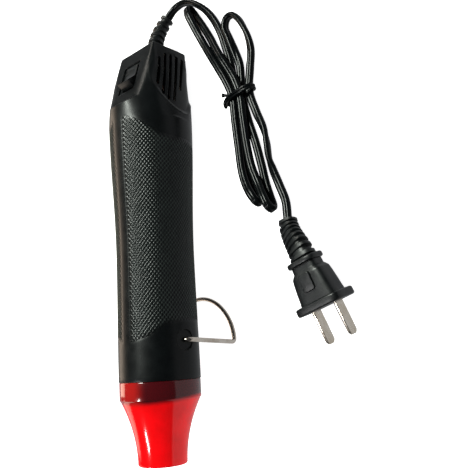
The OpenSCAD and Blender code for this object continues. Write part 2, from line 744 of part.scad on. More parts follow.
// Points on the switch flat, in the gun's own frame
function flat_point(x, y, z) = [
    top_cut_x + (switch_at + x) * cos(top_cut_angle) + z * sin(top_cut_angle), y,
    top_flat_z(top_cut_x) - (switch_at + x) * sin(top_cut_angle) + z * cos(top_cut_angle)
];
inner_cord_x = clamp_x - 6;
lead_start_x = inner_cord_x - lead_d / 3;
lead_end_x = board_back_x + lead_d * 0.6;
lead_slack = 4;
board_pad_y = 6;
live_end = flat_point(0, 0, terminal_z - tab_l);
switched_end = flat_point(-tab_pitch, 0, terminal_z - tab_l);
module mains_leads() color(copper) in_gun() {
    tube_even(smooth([
        [lead_start_x, cord_d / 4, entry_z], [lead_start_x - lead_slack, cord_d / 3, entry_z - lead_d],
        live_end - [0, 0, tab_t]
    ], 4), lead_d, 8);
    tube_even(smooth([
        [lead_start_x, -cord_d / 4, entry_z], [lead_start_x - lead_slack, -cord_d / 2, entry_z - lead_slack],
        [belly_x, -board_pad_y, entry_z - lead_slack], [board_back_x + lead_slack, -board_pad_y, entry_z],
        [lead_end_x, -board_pad_y, entry_z / 2]
    ], 4), lead_d, 8);
    tube_even(smooth([
        switched_end - [0, 0, tab_t], switched_end - [2 * lead_slack, -tab_w / 2, lead_slack],
        [board_back_x + 3 * lead_slack, board_pad_y, entry_z], [lead_end_x, board_pad_y, entry_z / 2]
    ], 4), lead_d, 8);
}

// Cord entry
boot_back_x = tail_x - end_wall - seat_gap;
boot_flange_t = 2;
module inner_cord() color(black) in_gun() translate([inner_cord_x, 0, entry_z]) along_x()
    linear_extrude(boot_back_x - boot_flange_t - inner_cord_x) for (s = [-1, 1])
        translate([0, s * cord_d / 5]) circle(cord_d * 0.3);
module cord_clamp() color(black) in_gun() difference() {
    translate([clamp_x - 2.6, -clamp_y - 2.6, clamp_z]) cube([5.2, 2 * clamp_y + 5.2, 2.2]);
    for (s = [-1, 1]) translate([clamp_x, s * clamp_y, clamp_z - over])
        cylinder(h = 4, d = clamp_screw_d + 0.2);
}
module clamp_screws() color(steel) in_gun() for (s = [-1, 1]) translate([clamp_x, s * clamp_y, clamp_z]) {
    translate([0, 0, -7]) cylinder(h = 9.3, d = clamp_screw_d);
    translate([0, 0, 2.2]) cylinder(h = 1.2, d = 3.6);
}
boot_collar_len = 2;
boot_start = gun_point(tail_x + seat_gap, 0, entry_z);
boot_curve = [
    boot_start, boot_start + 10 * gun_dir,
    boot_end - 9 * unit(exit_route[1] - boot_end), boot_end
];
function boot_at(t) = curve(boot_curve[0], boot_curve[1], boot_curve[2], boot_curve[3], t);
function boot_aim(t) = curve_dir(boot_curve[0], boot_curve[1], boot_curve[2], boot_curve[3], t);
boot_core_steps = 14;
function boot_rib_r(t) = (boot_rib_d[0] + (boot_rib_d[1] - boot_rib_d[0]) * t) / 2;
module cord_boot() color(black) {
    in_gun() translate([0, 0, entry_z]) {
        disc(boot_back_x - boot_flange_t, boot_flange_t, boot_flange_d / 2);
        disc(boot_back_x - over, end_wall + 2 * seat_gap + 2 * over, neck_d / 2);
        disc(tail_x + seat_gap, boot_collar_len, boot_rib_d[0] / 2 + 0.5);
    }
    tube_along(
        [for (i = [0:boot_core_steps]) boot_at(i / boot_core_steps)],
        [for (i = [0:boot_core_steps]) boot_rib_r(i / boot_core_steps) - 0.9],
        12
    );
    for (i = [0:boot_ribs - 1]) {
        t = (i + 1.35) / (boot_ribs + 0.7);
        aimed(boot_at(t), boot_aim(t))
            cylinder(h = 2.1, r = boot_rib_r(t), center = true);
    }
}

// Wire stand: pins in the housing, two arms, and a bow that lies on the table.
// The straight stretches are drawn a little thinner, and sink into the bends.
sunk = 0.25;
module wire_bend(bend_r, angle) rotate_extrude(angle = angle) translate([bend_r, 0]) circle(wire_r);
module wire_straight(length) cylinder(h = length, d = pin_d);
pin_y = dish_y - bearing_len - 0.6;
shoulder_y = stand_half - shoulder_bend_r;
module stand_wire() color(steel) translate(pivot_at) {
    $fn = 28;
    for (s = [0, 1]) mirror([0, s, 0]) {
        rotate([0, arm_slope, 0]) {
            translate([0, pin_y, 0]) rotate([-90, 0, 0]) wire_straight(shoulder_y - pin_y + sunk);
            translate([0, shoulder_y, -shoulder_bend_r]) rotate([90, 0, 90]) wire_bend(shoulder_bend_r, 90);
            translate([0, stand_half, foot_tangent - arm_len - sunk])
                wire_straight(arm_len - foot_tangent - shoulder_bend_r + 2 * sunk);
        }
        translate(foot_start() + [0, stand_half, foot_bend_r]) rotate([90, 0, 0])
            rotate([0, 0, -90 - foot_turn]) wire_bend(foot_bend_r, foot_turn);
        translate(foot_start() + [-sunk, stand_half, 0]) rotate([0, 90, 0])
            wire_straight(2 * sunk + foot_straight);
    }
    translate(foot_start() + [foot_straight, 0, 0]) rotate([0, 0, -90]) wire_bend(stand_half, 180);
}
function foot_start() = [foot_tangent - arm_len * sin(arm_slope), 0, -arm_len * cos(arm_slope)];

// Free cord, its hank and the tie
module power_cord() color(black) tube_even(smooth(exit_route, 4), cord_d, 8);
module cord_tail() color(black) tube_even(smooth(tail_route, 3), cord_d, 8);
module hank_end(e) translate(e[0]) circle(e[1], $fn = 32);
hank_lean = atan2(hank_waist[0].y - hank_low[0].y, hank_waist[0].x - hank_low[0].x);
module at_tie() translate([hank_waist[0].x, hank_waist[0].y, 0]) rotate([0, 0, hank_lean]) children();
tie_half = hank_waist[1] - 0.4;
module tie_ring(grow)
    rotate([90, 0, 90]) translate([0, 0, -tie_w / 2 - grow]) linear_extrude(tie_w + 2 * grow) difference() {
        translate([0, hank_h / 2]) round_plate(2 * tie_half + 2 * tie_t + 2 * grow, hank_h + 2 * grow, 3);
        translate([0, hank_h / 2]) round_plate(2 * tie_half - 2 * grow, hank_h - 2 * tie_t - 2 * grow, 1.8);
    }
module cord_hank() color(black) difference() {
    linear_extrude(hank_h) {
        hull() {
            hank_end(hank_low);
            hank_end(hank_waist);
        }
        hull() {
            hank_end(hank_waist);
            hank_end(hank_high);
            hank_end(hank_side);
        }
    }
    at_tie() tie_ring(tie_clear);
}
module cord_tie() color(black) at_tie() {
    tie_ring(0);
    translate([0, tie_half + tie_t - 0.4, hank_h / 2]) rotate([-90, 0, 20]) cylinder(h = 6, d = 2.4);
}

// Plug
module at_plug() translate(plug_at) rotate([0, plug_tilt, plug_turn]) children();
module plug_slab(x, t, w, h, r)
    translate([x, 0, 0]) rotate([90, 0, 90]) linear_extrude(t) round_plate(w, h, r, $fn = 32);
module plug_body() color(black) at_plug() {
    plug_slab(-plug_flange_t, plug_flange_t, flange_w, flange_h, 3.4);
    hull() {
        plug_slab(-plug_flange_t, 0.2, plug_body_w[0], plug_body_h[0], 2.6);
        plug_slab(-plug_flange_t - plug_body_l, 0.2, plug_body_w[1], plug_body_h[1], 3);
    }
    translate([-plug_flange_t - plug_body_l * 0.5, 0, plug_body_h[1] / 2 - 0.5])
        linear_extrude(1.8) round_plate(plug_body_l * 0.62, plug_body_w[1] * 0.6, 2);
    plug_slab(
        -plug_flange_t - plug_body_l - plug_collar_t, plug_collar_t + 0.1,
        plug_body_w[1] + 1.6, plug_body_h[1] + 1.2, 3.4
    );
}
module plug_blades() color(steel) at_plug() for (s = [-1, 1])
    translate([0, s * blade_pitch / 2, 0]) rotate([90, 0, 0]) linear_extrude(pin_t, center = true) polygon([
        [0, -pin_h / 2], [pin_len - 1.6, -pin_h / 2], [pin_len, -pin_h / 2 + 1.4],
        [pin_len, pin_h / 2 - 1.4], [pin_len - 1.6, pin_h / 2], [0, pin_h / 2]
    ]);
plug_curve = [
    plug_back, plug_back - 9 * plug_dir - [0, 0, 1],
    plug_entry + 9 * unit(tail_route[2] - plug_entry) * -1, plug_entry
];
function plug_boot_at(t) = curve(plug_curve[0], plug_curve[1], plug_curve[2], plug_curve[3], t);
function plug_boot_aim(t) = curve_dir(plug_curve[0], plug_curve[1], plug_curve[2], plug_curve[3], t);
module plug_boot() color(black) {
    tube_along(
        [for (i = [0:12]) plug_boot_at(i / 12)],
        [for (i = [0:12]) 3.9 - 0.9 * i / 12],
        12
    );
    for (i = [0:plug_ribs - 1]) {
        t = (i + 0.3) / plug_ribs;
        aimed(plug_boot_at(t), plug_boot_aim(t)) linear_extrude(2.4, center = true)
            round_plate(8.4 - 1.6 * t, plug_rib_w[0] + (plug_rib_w[1] - plug_rib_w[0]) * t, 2.6);
    }
}

shell_near();
shell_far();
shell_screws();
nozzle_guard();
heat_tube();
mica_liner();
heater_former();
heater_coil();
thermal_cutout();
heater_leads();
fan_duct();
fan_impeller();
motor_shaft();
motor_armature();
motor_magnets();
motor_can();
motor_endcap();
motor_terminals();
rectifier_board();
board_parts();
switch_housing();
switch_rocker();
switch_terminals();
mains_leads();
inner_cord();
cord_clamp();
clamp_screws();
cord_boot();
stand_wire();
power_cord();
cord_hank();
cord_tie();
cord_tail();
plug_boot();
plug_body();
plug_blades();
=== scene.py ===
"""Looks of an embossing heat tool: a slim hot-air gun on its wire stand, with its cord in a hank.

Lengths inside the classes are millimetres. A point of the gun is given as s along its axis from the
front edge of the housing towards the cord, y across and h up. Meshes are written in metres.
"""
import json
import logging
from dataclasses import dataclass, field
from enum import Enum

import bmesh
import bpy
import numpy as np
from mathutils import Matrix, Vector


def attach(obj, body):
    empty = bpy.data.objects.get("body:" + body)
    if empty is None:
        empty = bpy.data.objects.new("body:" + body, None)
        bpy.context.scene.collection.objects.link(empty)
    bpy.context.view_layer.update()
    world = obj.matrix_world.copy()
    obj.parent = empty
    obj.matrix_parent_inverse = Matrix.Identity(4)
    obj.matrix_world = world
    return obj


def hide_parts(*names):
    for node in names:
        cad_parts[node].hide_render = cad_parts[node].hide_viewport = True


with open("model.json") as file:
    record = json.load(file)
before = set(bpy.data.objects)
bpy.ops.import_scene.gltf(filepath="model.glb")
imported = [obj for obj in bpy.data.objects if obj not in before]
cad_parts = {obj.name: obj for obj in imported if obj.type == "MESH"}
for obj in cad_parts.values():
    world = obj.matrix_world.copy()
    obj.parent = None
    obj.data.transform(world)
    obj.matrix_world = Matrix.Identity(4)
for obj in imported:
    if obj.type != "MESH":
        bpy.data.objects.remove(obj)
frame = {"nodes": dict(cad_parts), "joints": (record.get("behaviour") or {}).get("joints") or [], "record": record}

Array = np.ndarray
Piece = bpy.types.Object
Paint = bpy.types.Material

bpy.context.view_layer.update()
LOG = logging.getLogger("heat_tool")
MM = 0.001
ACROSS = np.array([0.0, 1.0, 0.0])
# Distance of the stand's pivot behind the front edge of the housing
PIVOT_S = 19.0


class Side(Enum):
    """The two halves of the housing, by the sign of y."""

    NEAR = -1
    FAR = 1


class Lay(Enum):
    """How a grid of points closes on itself."""

    OPEN = 0
    RING = 1


# Small tools for numbers


def ease(a: float, b: float, t: Array) -> Array:
    """Half a cosine wave from a to b while t goes from 0 to 1."""
    return a + (b - a) * (1 - np.cos(np.pi * np.clip(t, 0, 1))) / 2


def smoothstep(low: float, high: float, x: Array) -> Array:
    """Goes from 0 at low to 1 at high with a flat start and end."""
    t = np.clip((x - low) / (high - low), 0, 1)
    return t * t * (3 - 2 * t)


def soft_min(a: Array, b: Array, blend: Array) -> Array:
    """The smaller of two fields, rounded off where they are within blend of each other."""
    near = np.clip(blend - np.abs(a - b), 0, None) / blend
    return np.minimum(a, b) - near * near * blend / 4


def unit(v: Array) -> Array:
    """Vectors of length 1, along the last axis."""
    return v / np.maximum(np.linalg.norm(v, axis=-1, keepdims=True), 1e-12)


def even_rows(points: Array, count: int) -> tuple[Array, Array]:
    """Rows an even distance apart along a route.

    Args:
        points: rows of a route; the first three columns are a place, others are carried along.
        count: number of rows that come back.

    Returns:
        The distance of each new row from the start, and the new rows.
    """
    run = np.concatenate([[0.0], np.cumsum(np.linalg.norm(np.diff(points[:, :3], axis=0), axis=1))])
    even = np.linspace(0, run[-1], count)
    return even, np.stack([np.interp(even, run, column) for column in points.T], axis=1)


def smooth_path(points: Array, step: float) -> Array:
    """A curve through all points, with its rows an even distance apart.

    Args:
        points: rows of a route; the first three columns are a place, others are carried along.
        step: distance between the rows that come back.

    Returns:
        Rows on a centripetal curve: between two points it is a cubic with the tangents of a
        parabola through three neighbours, weighted by the square roots of their distances.
    """
    p = np.asarray(points, float)
    gaps = np.sqrt(np.linalg.norm(np.diff(p[:, :3], axis=0), axis=1))
    knots = np.concatenate([[0.0], np.cumsum(gaps)])
    slopes = np.diff(p, axis=0) / gaps[:, None]
    inner = (slopes[:-1] * gaps[1:, None] + slopes[1:] * gaps[:-1, None]) / (gaps[1:] + gaps[:-1])[:, None]
    tangents = np.vstack([slopes[:1], inner, slopes[-1:]])
    fine = np.linspace(0, knots[-1], 60 * len(p))
    i = np.clip(np.searchsorted(knots, fine, side="right") - 1, 0, len(gaps) - 1)
    t = ((fine - knots[i]) / gaps[i])[:, None]
    g = gaps[i][:, None]
    curve = (
        (2 * t**3 - 3 * t**2 + 1) * p[i] + (t**3 - 2 * t**2 + t) * g * tangents[i]
        + (3 * t**2 - 2 * t**3) * p[i + 1] + (t**3 - t**2) * g * tangents[i + 1]
    )
    length = np.linalg.norm(np.diff(curve[:, :3], axis=0), axis=1).sum()
    return even_rows(curve, max(int(round(length / step)), 2) + 1)[1]


def bezier(a: Array, b: Array, c: Array, d: Array, steps: int) -> Array:
    """Points of a cubic with the four control points a, b, c and d."""
    t = np.linspace(0, 1, steps)[:, None]
    return (1 - t) ** 3 * a + 3 * t * (1 - t) ** 2 * b + 3 * t * t * (1 - t) * c + t**3 * d


def level_frames(points: Array) -> tuple[Array, Array]:
    """Directions square to a path, one of which keeps level as the path bends.

    The level one is up crossed with the tangent. It keeps its sign from row to row, also where the
    path turns back over itself, and is the mean of five rows.

    Args:
        points: rows of places.

    Returns:
        The level direction, and the one square to it and to the path.
    """
    tangent = unit(np.gradient(points, axis=0))
    level = np.cross(np.array([0.0, 0.0, 1.0]), tangent)
    signs = np.sign(np.sum(level[1:] * level[:-1], axis=1))
    level[1:] *= np.cumprod(np.where(signs == 0, 1, signs))[:, None]
    padded = np.pad(level, ((2, 2), (0, 0)), mode="edge")
    level = np.stack([np.convolve(column, np.ones(5) / 5, mode="valid") for column in padded.T], axis=1)
    level = unit(level - tangent * np.sum(level * tangent, axis=1, keepdims=True))
    return level, np.cross(tangent, level)


def carried_frames(points: Array) -> tuple[Array, Array]:
    """Directions square to a path, carried from row to row without twist.

    Each row's direction is the last row's, less its part along the new tangent.

    Args:
        points: rows of places.

    Returns:
        Two directions square to each other and to the path.
    """
    tangent = unit(np.gradient(points, axis=0))
    side = np.zeros_like(tangent)
    side[0] = unit(np.cross(tangent[0], np.array([1.0, 0.0, 0.0])))
    for i in range(1, len(points)):
        side[i] = unit(side[i - 1] - tangent[i] * np.dot(side[i - 1], tangent[i]))
    return side, np.cross(tangent, side)


def oval(count: int, power: float = 2.0) -> tuple[Array, Array]:
    """A closed outline of half-width 1.

    Args:
        count: number of points.
        power: 2 gives a circle, and more gives squarer corners.

    Returns:
        The two coordinates: cosine and sine of the angle, each to the power of 2 / power.
    """
    a = np.linspace(0, 2 * np.pi, count, endpoint=False)
    c, s = np.cos(a), np.sin(a)
    return np.sign(c) * np.abs(c) ** (2 / power), np.sign(s) * np.abs(s) ** (2 / power)


# Meshes


def mesh_object(name: str, points: Array, faces: list, smooth_deg: float) -> Piece:
    """Makes an object from points in metres, with its doubles merged and its faces outwards.

    Args:
        name: the piece's name.
        points: rows of places.
        faces: tuples of row numbers.
        smooth_deg: edges sharper than this keep a crease.

    Returns:
        The new object, linked to the scene.
    """
    mesh = bpy.data.meshes.new(name)
    mesh.from_pydata(np.asarray(points, float).reshape(-1, 3).tolist(), [], faces)
    work = bmesh.new()
    work.from_mesh(mesh)
    bmesh.ops.remove_doubles(work, verts=work.verts, dist=2e-6)
    bmesh.ops.recalc_face_normals(work, faces=work.faces)
    work.to_mesh(mesh)
    work.free()
    obj = bpy.data.objects.new(name, mesh)
    bpy.context.scene.collection.objects.link(obj)
    shade(obj, smooth_deg)
    return obj


def shade(obj: Piece, smooth_deg: float) -> None:
    """Smooth shading with a crease at sharp edges.

    Args:
        obj: the piece.
        smooth_deg: edges sharper than this keep a crease.
    """
    mesh = obj.data
    mesh.polygons.foreach_set("use_smooth", np.ones(len(mesh.polygons), bool))
    mesh.set_sharp_from_angle(angle=np.radians(smooth_deg))
    mesh.update()


def grid_faces(rows: int, cols: int, around: Lay) -> list:
    """Quads of a grid of points that is numbered row by row.

    Args:
        rows: number of rows.
        cols: number of points in a row.
        around: whether the last column joins the first.

    Returns:
        Tuples of four point numbers.
    """
    last = cols if around is Lay.RING else cols - 1
    i, j = np.meshgrid(np.arange(rows - 1), np.arange(last), indexing="ij")
    k = (j + 1) % cols
    quads = np.stack([i * cols + j, (i + 1) * cols + j, (i + 1) * cols + k, i * cols + k], axis=-1)
    return [tuple(q) for q in quads.reshape(-1, 4).tolist()]


def closed_loft(name: str, rings: Array, smooth_deg: float) -> Piece:
    """A solid through closed rings, with its two ends shut by fans.

    Args:
        name: the piece's name.
        rings: places in millimetres, shaped rings by points by 3.
        smooth_deg: edges sharper than this keep a crease.

    Returns:
        The new object.
    """
    rows, cols = rings.shape[:2]
    ends = np.stack([rings[0].mean(axis=0), rings[-1].mean(axis=0)])
    points = np.vstack([rings.reshape(-1, 3), ends]) * MM
    j = np.arange(cols)
    k = (j + 1) % cols
    low, high, base = rows * cols, rows * cols + 1, (rows - 1) * cols
    faces = grid_faces(rows, cols, Lay.RING)
    faces += [(low, int(b), int(a)) for a, b in zip(k, j)]
    faces += [(high, int(a), int(b)) for a, b in zip(base + k, base + j)]
    return mesh_object(name, points, faces, smooth_deg)


def sweep(name: str, path: Array, frames: tuple, wide: Array, high: Array, outline: tuple,
          smooth_deg: float = 40.0) -> Piece:
    """A solid whose outline follows a path.

    Formula: place + first direction times wide times u + second direction times high times v.

    Args:
        name: the piece's name.
        path: rows of places in millimetres.
        frames: the two directions square to the path, row by row or one for all.
        wide: half-width of the outline, row by row or one for all.
        high: half-height of the outline, row by row or one for all.
        outline: the coordinates u and v of a closed outline.
        smooth_deg: edges sharper than this keep a crease.

    Returns:
        The new object.
    """
    first, second = (np.broadcast_to(way, path.shape)[:, None, :] for way in frames)
    wide, high = (np.broadcast_to(half, (len(path),))[:, None] for half in (wide, high))
    u, v = outline
    rings = path[:, None, :] + first * (wide * u)[..., None] + second * (high * v)[..., None]
    return closed_loft(name, rings, smooth_deg)


def join(name: str, parts: list) -> Piece:
    """Makes one object out of several.

    Args:
        name: the new object's name.
        parts: the objects, all of which end in the first.

    Returns:
        The joined object.
    """
    bpy.ops.object.select_all(action="DESELECT")
    for part in parts:
        part.select_set(True)
    bpy.context.view_layer.objects.active = parts[0]
    bpy.ops.object.join()
    parts[0].name = name
    parts[0].data.name = name
    return parts[0]


def apply_modifiers(obj: Piece) -> None:
    """Turns the modifiers of an object into its mesh.

    Args:
        obj: the piece.
    """
    graph = bpy.context.evaluated_depsgraph_get()
    mesh = bpy.data.meshes.new_from_object(obj.evaluated_get(graph))
    obj.modifiers.clear()
    obj.data = mesh


def dress(obj: Piece, paint: Paint) -> Piece:
    """Gives an object one material.

    Args:
        obj: the piece.
        paint: the material.

    Returns:
        The same object.
    """
    obj.data.materials.clear()
    obj.data.materials.append(paint)
    return obj


# Finishes


def linear(code: str) -> tuple:
    """Turns an sRGB hex code such as "#15191a" into linear red, green, blue and alpha."""
    parts = [int(code[i:i + 2], 16) / 255 for i in (1, 3, 5)]
    return tuple(c / 12.92 if c <= 0.04045 else ((c + 0.055) / 1.055) ** 2.4 for c in parts) + (1.0,)


def fill(tree: bpy.types.NodeTree, node: bpy.types.Node, settings: dict, links: dict) -> None:
    """Sets a node's sockets and properties, and links its inputs.

    Args:
        tree: the node tree.
        node: the node.
        settings: socket names or property names with their values; "stops" fills a colour ramp.
        links: socket names with the output sockets that feed them.
    """
    for key, value in settings.items():
        if key == "stops":
            for stop, (place, colour) in zip(node.color_ramp.elements, value):
                stop.position = place
                stop.color = linear(colour)
        elif isinstance(key, int) or key in node.inputs:
            node.inputs[key].default_value = value
        else:
            setattr(node, key, value)
    for key, source in links.items():
        tree.links.new(source, node.inputs[key])


def add(tree: bpy.types.NodeTree, kind: str, settings: dict | None = None,
        links: dict | None = None) -> bpy.types.Node:
    """Adds a node with its settings and links.

    Args:
        tree: the node tree.
        kind: the node's type name, without its first words ShaderNode.
        settings: as for fill.
        links: as for fill.

    Returns:
        The node.
    """
    node = tree.nodes.new("ShaderNode" + kind)
    fill(tree, node, settings or {}, links or {})
    return node


def blank(name: str) -> tuple:
    """A new material with a principled shader.

    Args:
        name: the material's name.

    Returns:
        The material, its tree, its shader, and its Object coordinates in metres.
    """
    material = bpy.data.materials.new(name)
    material.use_nodes = True
    tree = material.node_tree
    tree.nodes.clear()
    shader = add(tree, "BsdfPrincipled")
    add(tree, "OutputMaterial", links={"Surface": shader.outputs["BSDF"]})
    return material, tree, shader, add(tree, "TexCoord").outputs["Object"]


@dataclass(frozen=True)
class MouldedPlastic:
    """Plastic moulded or extruded in a steel tool, whose eroded walls leave a fine grain on it.

    The real grain is under 0.1 mm; it is drawn a few times as coarse, so that the render shows it.
    """

    name: str
    colour: str
    shaded: str
    gloss: tuple = (0.34, 0.46)
    grain_mm: float = 0.35
    grain_height_mm: float = 0.02
    coat: float = 0.0
    ior: float = 1.53
    shine: float = 0.3
    cloud_mm: float = 6.0

    def make(self) -> Paint:
        """Colour and gloss drift over a few millimetres, and fine noise breaks up the highlights.

        Returns:
            The material.
        """
        material, tree, shader, place = blank(self.name)
        cloud = add(tree, "TexNoise", {"Scale": 1 / (self.cloud_mm * MM), "Detail": 4.0}, {"Vector": place})
        grain = add(tree, "TexNoise", {"Scale": 1 / (self.grain_mm * MM), "Detail": 2.0}, {"Vector": place})
        tint = add(tree, "ValToRGB", {"stops": [(0.3, self.shaded), (0.7, self.colour)]},
                   {"Fac": cloud.outputs["Fac"]})
        gloss = add(tree, "MapRange", {"From Min": 0.3, "From Max": 0.7, "To Min": self.gloss[0],
                                       "To Max": self.gloss[1]}, {"Value": cloud.outputs["Fac"]})
        bump = add(tree, "Bump", {"Strength": 0.5, "Distance": self.grain_height_mm * MM},
                   {"Height": grain.outputs["Fac"]})
        fill(
            tree, shader, {"IOR": self.ior, "Specular IOR Level": self.shine, "Coat Weight": self.coat,
                           "Coat Roughness": 0.08},
            {"Base Color": tint.outputs["Color"], "Roughness": gloss.outputs["Result"],
             "Normal": bump.outputs["Normal"]}
        )
        return material


@dataclass(frozen=True)
class PolishedRidgesPaintedHighlight:
    """Glass-filled polyamide of the grip: matt pits, and ridges that hands have polished, glossier and painted
    lighter as a painted highlight.
    """

    name: str = "moulded_polyamide_grip"
    pit: str = "#070a0a"
    # Ridge colour: a painted highlight for the light that the ridge tops catch
    ridge: str = "#3c4441"
    gloss: tuple = (0.32, 0.2)
    cloud_mm: float = 8.0

    def make(self) -> Paint:
        """The mesh's ridge attribute makes the ridges glossier and paints them lighter, a painted highlight, so
        every ridge draws a fine light line.

        Returns:
            The material.
        """
        material, tree, shader, place = blank(self.name)
        polish_and_painted_highlight = add(tree, "Attribute", {"attribute_name": "ridge"})
        cloud = add(tree, "TexNoise", {"Scale": 1 / (self.cloud_mm * MM), "Detail": 3.0}, {"Vector": place})
        patchy = add(tree, "MapRange", {"From Min": 0.3, "From Max": 0.7, "To Min": 0.8, "To Max": 1.0},
                     {"Value": cloud.outputs["Fac"]})
        fade = add(tree, "Math", {"operation": "MULTIPLY"},
                   {0: polish_and_painted_highlight.outputs["Fac"], 1: patchy.outputs["Result"]})
        # Painted highlight: the ridges are painted lighter than the pits
        tint = add(tree, "ValToRGB", {"stops": [(0.3, self.pit), (0.9, self.ridge)]},
                   {"Fac": fade.outputs[0]})
        gloss = add(tree, "MapRange", {"To Min": self.gloss[0], "To Max": self.gloss[1]},
                    {"Value": polish_and_painted_highlight.outputs["Fac"]})
        fill(tree, shader, {"IOR": 1.53, "Specular IOR Level": 0.3},
             {"Base Color": tint.outputs["Color"], "Roughness": gloss.outputs["Result"]})
        return material


@dataclass(frozen=True)
class TintedGuard:
    """Red polyamide, polished in the mould: it looks see-through, and darker over the collar, with painted light
    on the ring's far side.
    """

    edge_x_mm: float
    name: str = "moulded_polyamide_red"
    bright: str = "#ff0008"
    deep: str = "#ee0004"
    over_collar: str = "#42050a"
    # Painted light: the lighter red painted on the far side of the ring over the collar
    painted_light_collar: str = "#9c1512"
    edge_width_mm: float = 1.6
    # Span across y over which the painted light fades in
    painted_light_y_mm: tuple = (-10.5, -3.5)
    cloud_mm: float = 9.0
    ripple_mm: float = 7.0
    ripple_height_mm: float = 0.12

    def make(self) -> Paint:
        """The colour turns along the gun's axis: bright over the hollow, dark over the black collar.

        Over the collar the ring is painted a lighter red towards the far side: painted light for the
        light that enters from there. A slow wave of the surface bends the highlights.

        Returns:
            The material.
        """
        material, tree, shader, place = blank(self.name)
        cloud = add(tree, "TexNoise", {"Scale": 1 / (self.cloud_mm * MM), "Detail": 3.0}, {"Vector": place})
        body = add(tree, "ValToRGB", {"stops": [(0.35, self.deep), (0.65, self.bright)]},
                   {"Fac": cloud.outputs["Fac"]})
        parts = add(tree, "SeparateXYZ", links={"Vector": place})
        low, high = self.edge_x_mm - self.edge_width_mm, self.edge_x_mm + self.edge_width_mm
        soft = {"interpolation_type": "SMOOTHSTEP"}
        edge = add(tree, "MapRange", {"From Min": low * MM, "From Max": high * MM, **soft},
                   {"Value": parts.outputs["X"]})
        # Painted light: the ring over the collar is painted lighter towards the far side
        low, high = self.painted_light_y_mm
        lit = add(tree, "MapRange", {"From Min": low * MM, "From Max": high * MM, **soft},
                  {"Value": parts.outputs["Y"]})
        collar = add(tree, "ValToRGB", {"stops": [(0.0, self.over_collar), (1.0, self.painted_light_collar)]},
                     {"Fac": lit.outputs["Result"]})
        mixed = add(tree, "Mix", {"data_type": "RGBA"},
                    {0: edge.outputs["Result"], 6: body.outputs["Color"], 7: collar.outputs["Color"]})
        ripple = add(tree, "TexNoise", {"Scale": 1 / (self.ripple_mm * MM), "Detail": 1.0}, {"Vector": place})
        bump = add(tree, "Bump", {"Strength": 0.25, "Distance": self.ripple_height_mm * MM},
                   {"Height": ripple.outputs["Fac"]})
        fill(tree, shader, {"Roughness": 0.14, "IOR": 1.53, "Coat Weight": 0.3, "Coat Roughness": 0.04},
             {"Base Color": mixed.outputs[2], "Normal": bump.outputs["Normal"]})
        return material


@dataclass(frozen=True)
class Metal:
    """Metal that is drawn, rolled or plated, with fine scratches along one way."""

    name: str
    colour: str
    stained: str
    gloss: tuple = (0.16, 0.3)
    scratch_mm: tuple = (6.0, 0.25, 0.25)
    stain_mm: float = 5.0

    def make(self) -> Paint:
        """Stretched noise gives drawing marks, and a soft cloud dulls the plate in places.

        Returns:
            The material.
        """
        material, tree, shader, place = blank(self.name)
        stretch = add(tree, "Mapping", {"Scale": tuple(1 / (s * MM) for s in self.scratch_mm)},
                      {"Vector": place})
        marks = add(tree, "TexNoise", {"Scale": 1.0, "Detail": 3.0}, {"Vector": stretch.outputs["Vector"]})
        cloud = add(tree, "TexNoise", {"Scale": 1 / (self.stain_mm * MM), "Detail": 3.0}, {"Vector": place})
        tint = add(tree, "ValToRGB", {"stops": [(0.3, self.stained), (0.6, self.colour)]},
                   {"Fac": cloud.outputs["Fac"]})
        gloss = add(tree, "MapRange", {"From Min": 0.3, "From Max": 0.7, "To Min": self.gloss[0],
                                       "To Max": self.gloss[1]}, {"Value": marks.outputs["Fac"]})
        bump = add(tree, "Bump", {"Strength": 0.1, "Distance": 0.004 * MM}, {"Height": marks.outputs["Fac"]})
        fill(tree, shader, {"Metallic": 1.0},
             {"Base Color": tint.outputs["Color"], "Roughness": gloss.outputs["Result"],
              "Normal": bump.outputs["Normal"]})
        return material


@dataclass(frozen=True)
class MicaBoard:
    """Pressed mica sheet: pale brown flakes in layers."""

    name: str = "pressed_mica_board"
    colour: str = "#b9a682"
    flake: str = "#8d7a58"
    flake_mm: float = 2.0

    def make(self) -> Paint:
        """Cells for the flakes, each with its own tone and a soft sheen.

        Returns:
            The material.
        """
        material, tree, shader, place = blank(self.name)
        flakes = add(tree, "TexVoronoi", {"Scale": 1 / (self.flake_mm * MM)}, {"Vector": place})
        tint = add(tree, "ValToRGB", {"stops": [(0.1, self.flake), (0.9, self.colour)]},
                   {"Fac": flakes.outputs["Distance"]})
        bump = add(tree, "Bump", {"Strength": 0.3, "Distance": 0.03 * MM},
                   {"Height": flakes.outputs["Distance"]})
        fill(tree, shader, {"Roughness": 0.42},
             {"Base Color": tint.outputs["Color"], "Normal": bump.outputs["Normal"]})
        return material


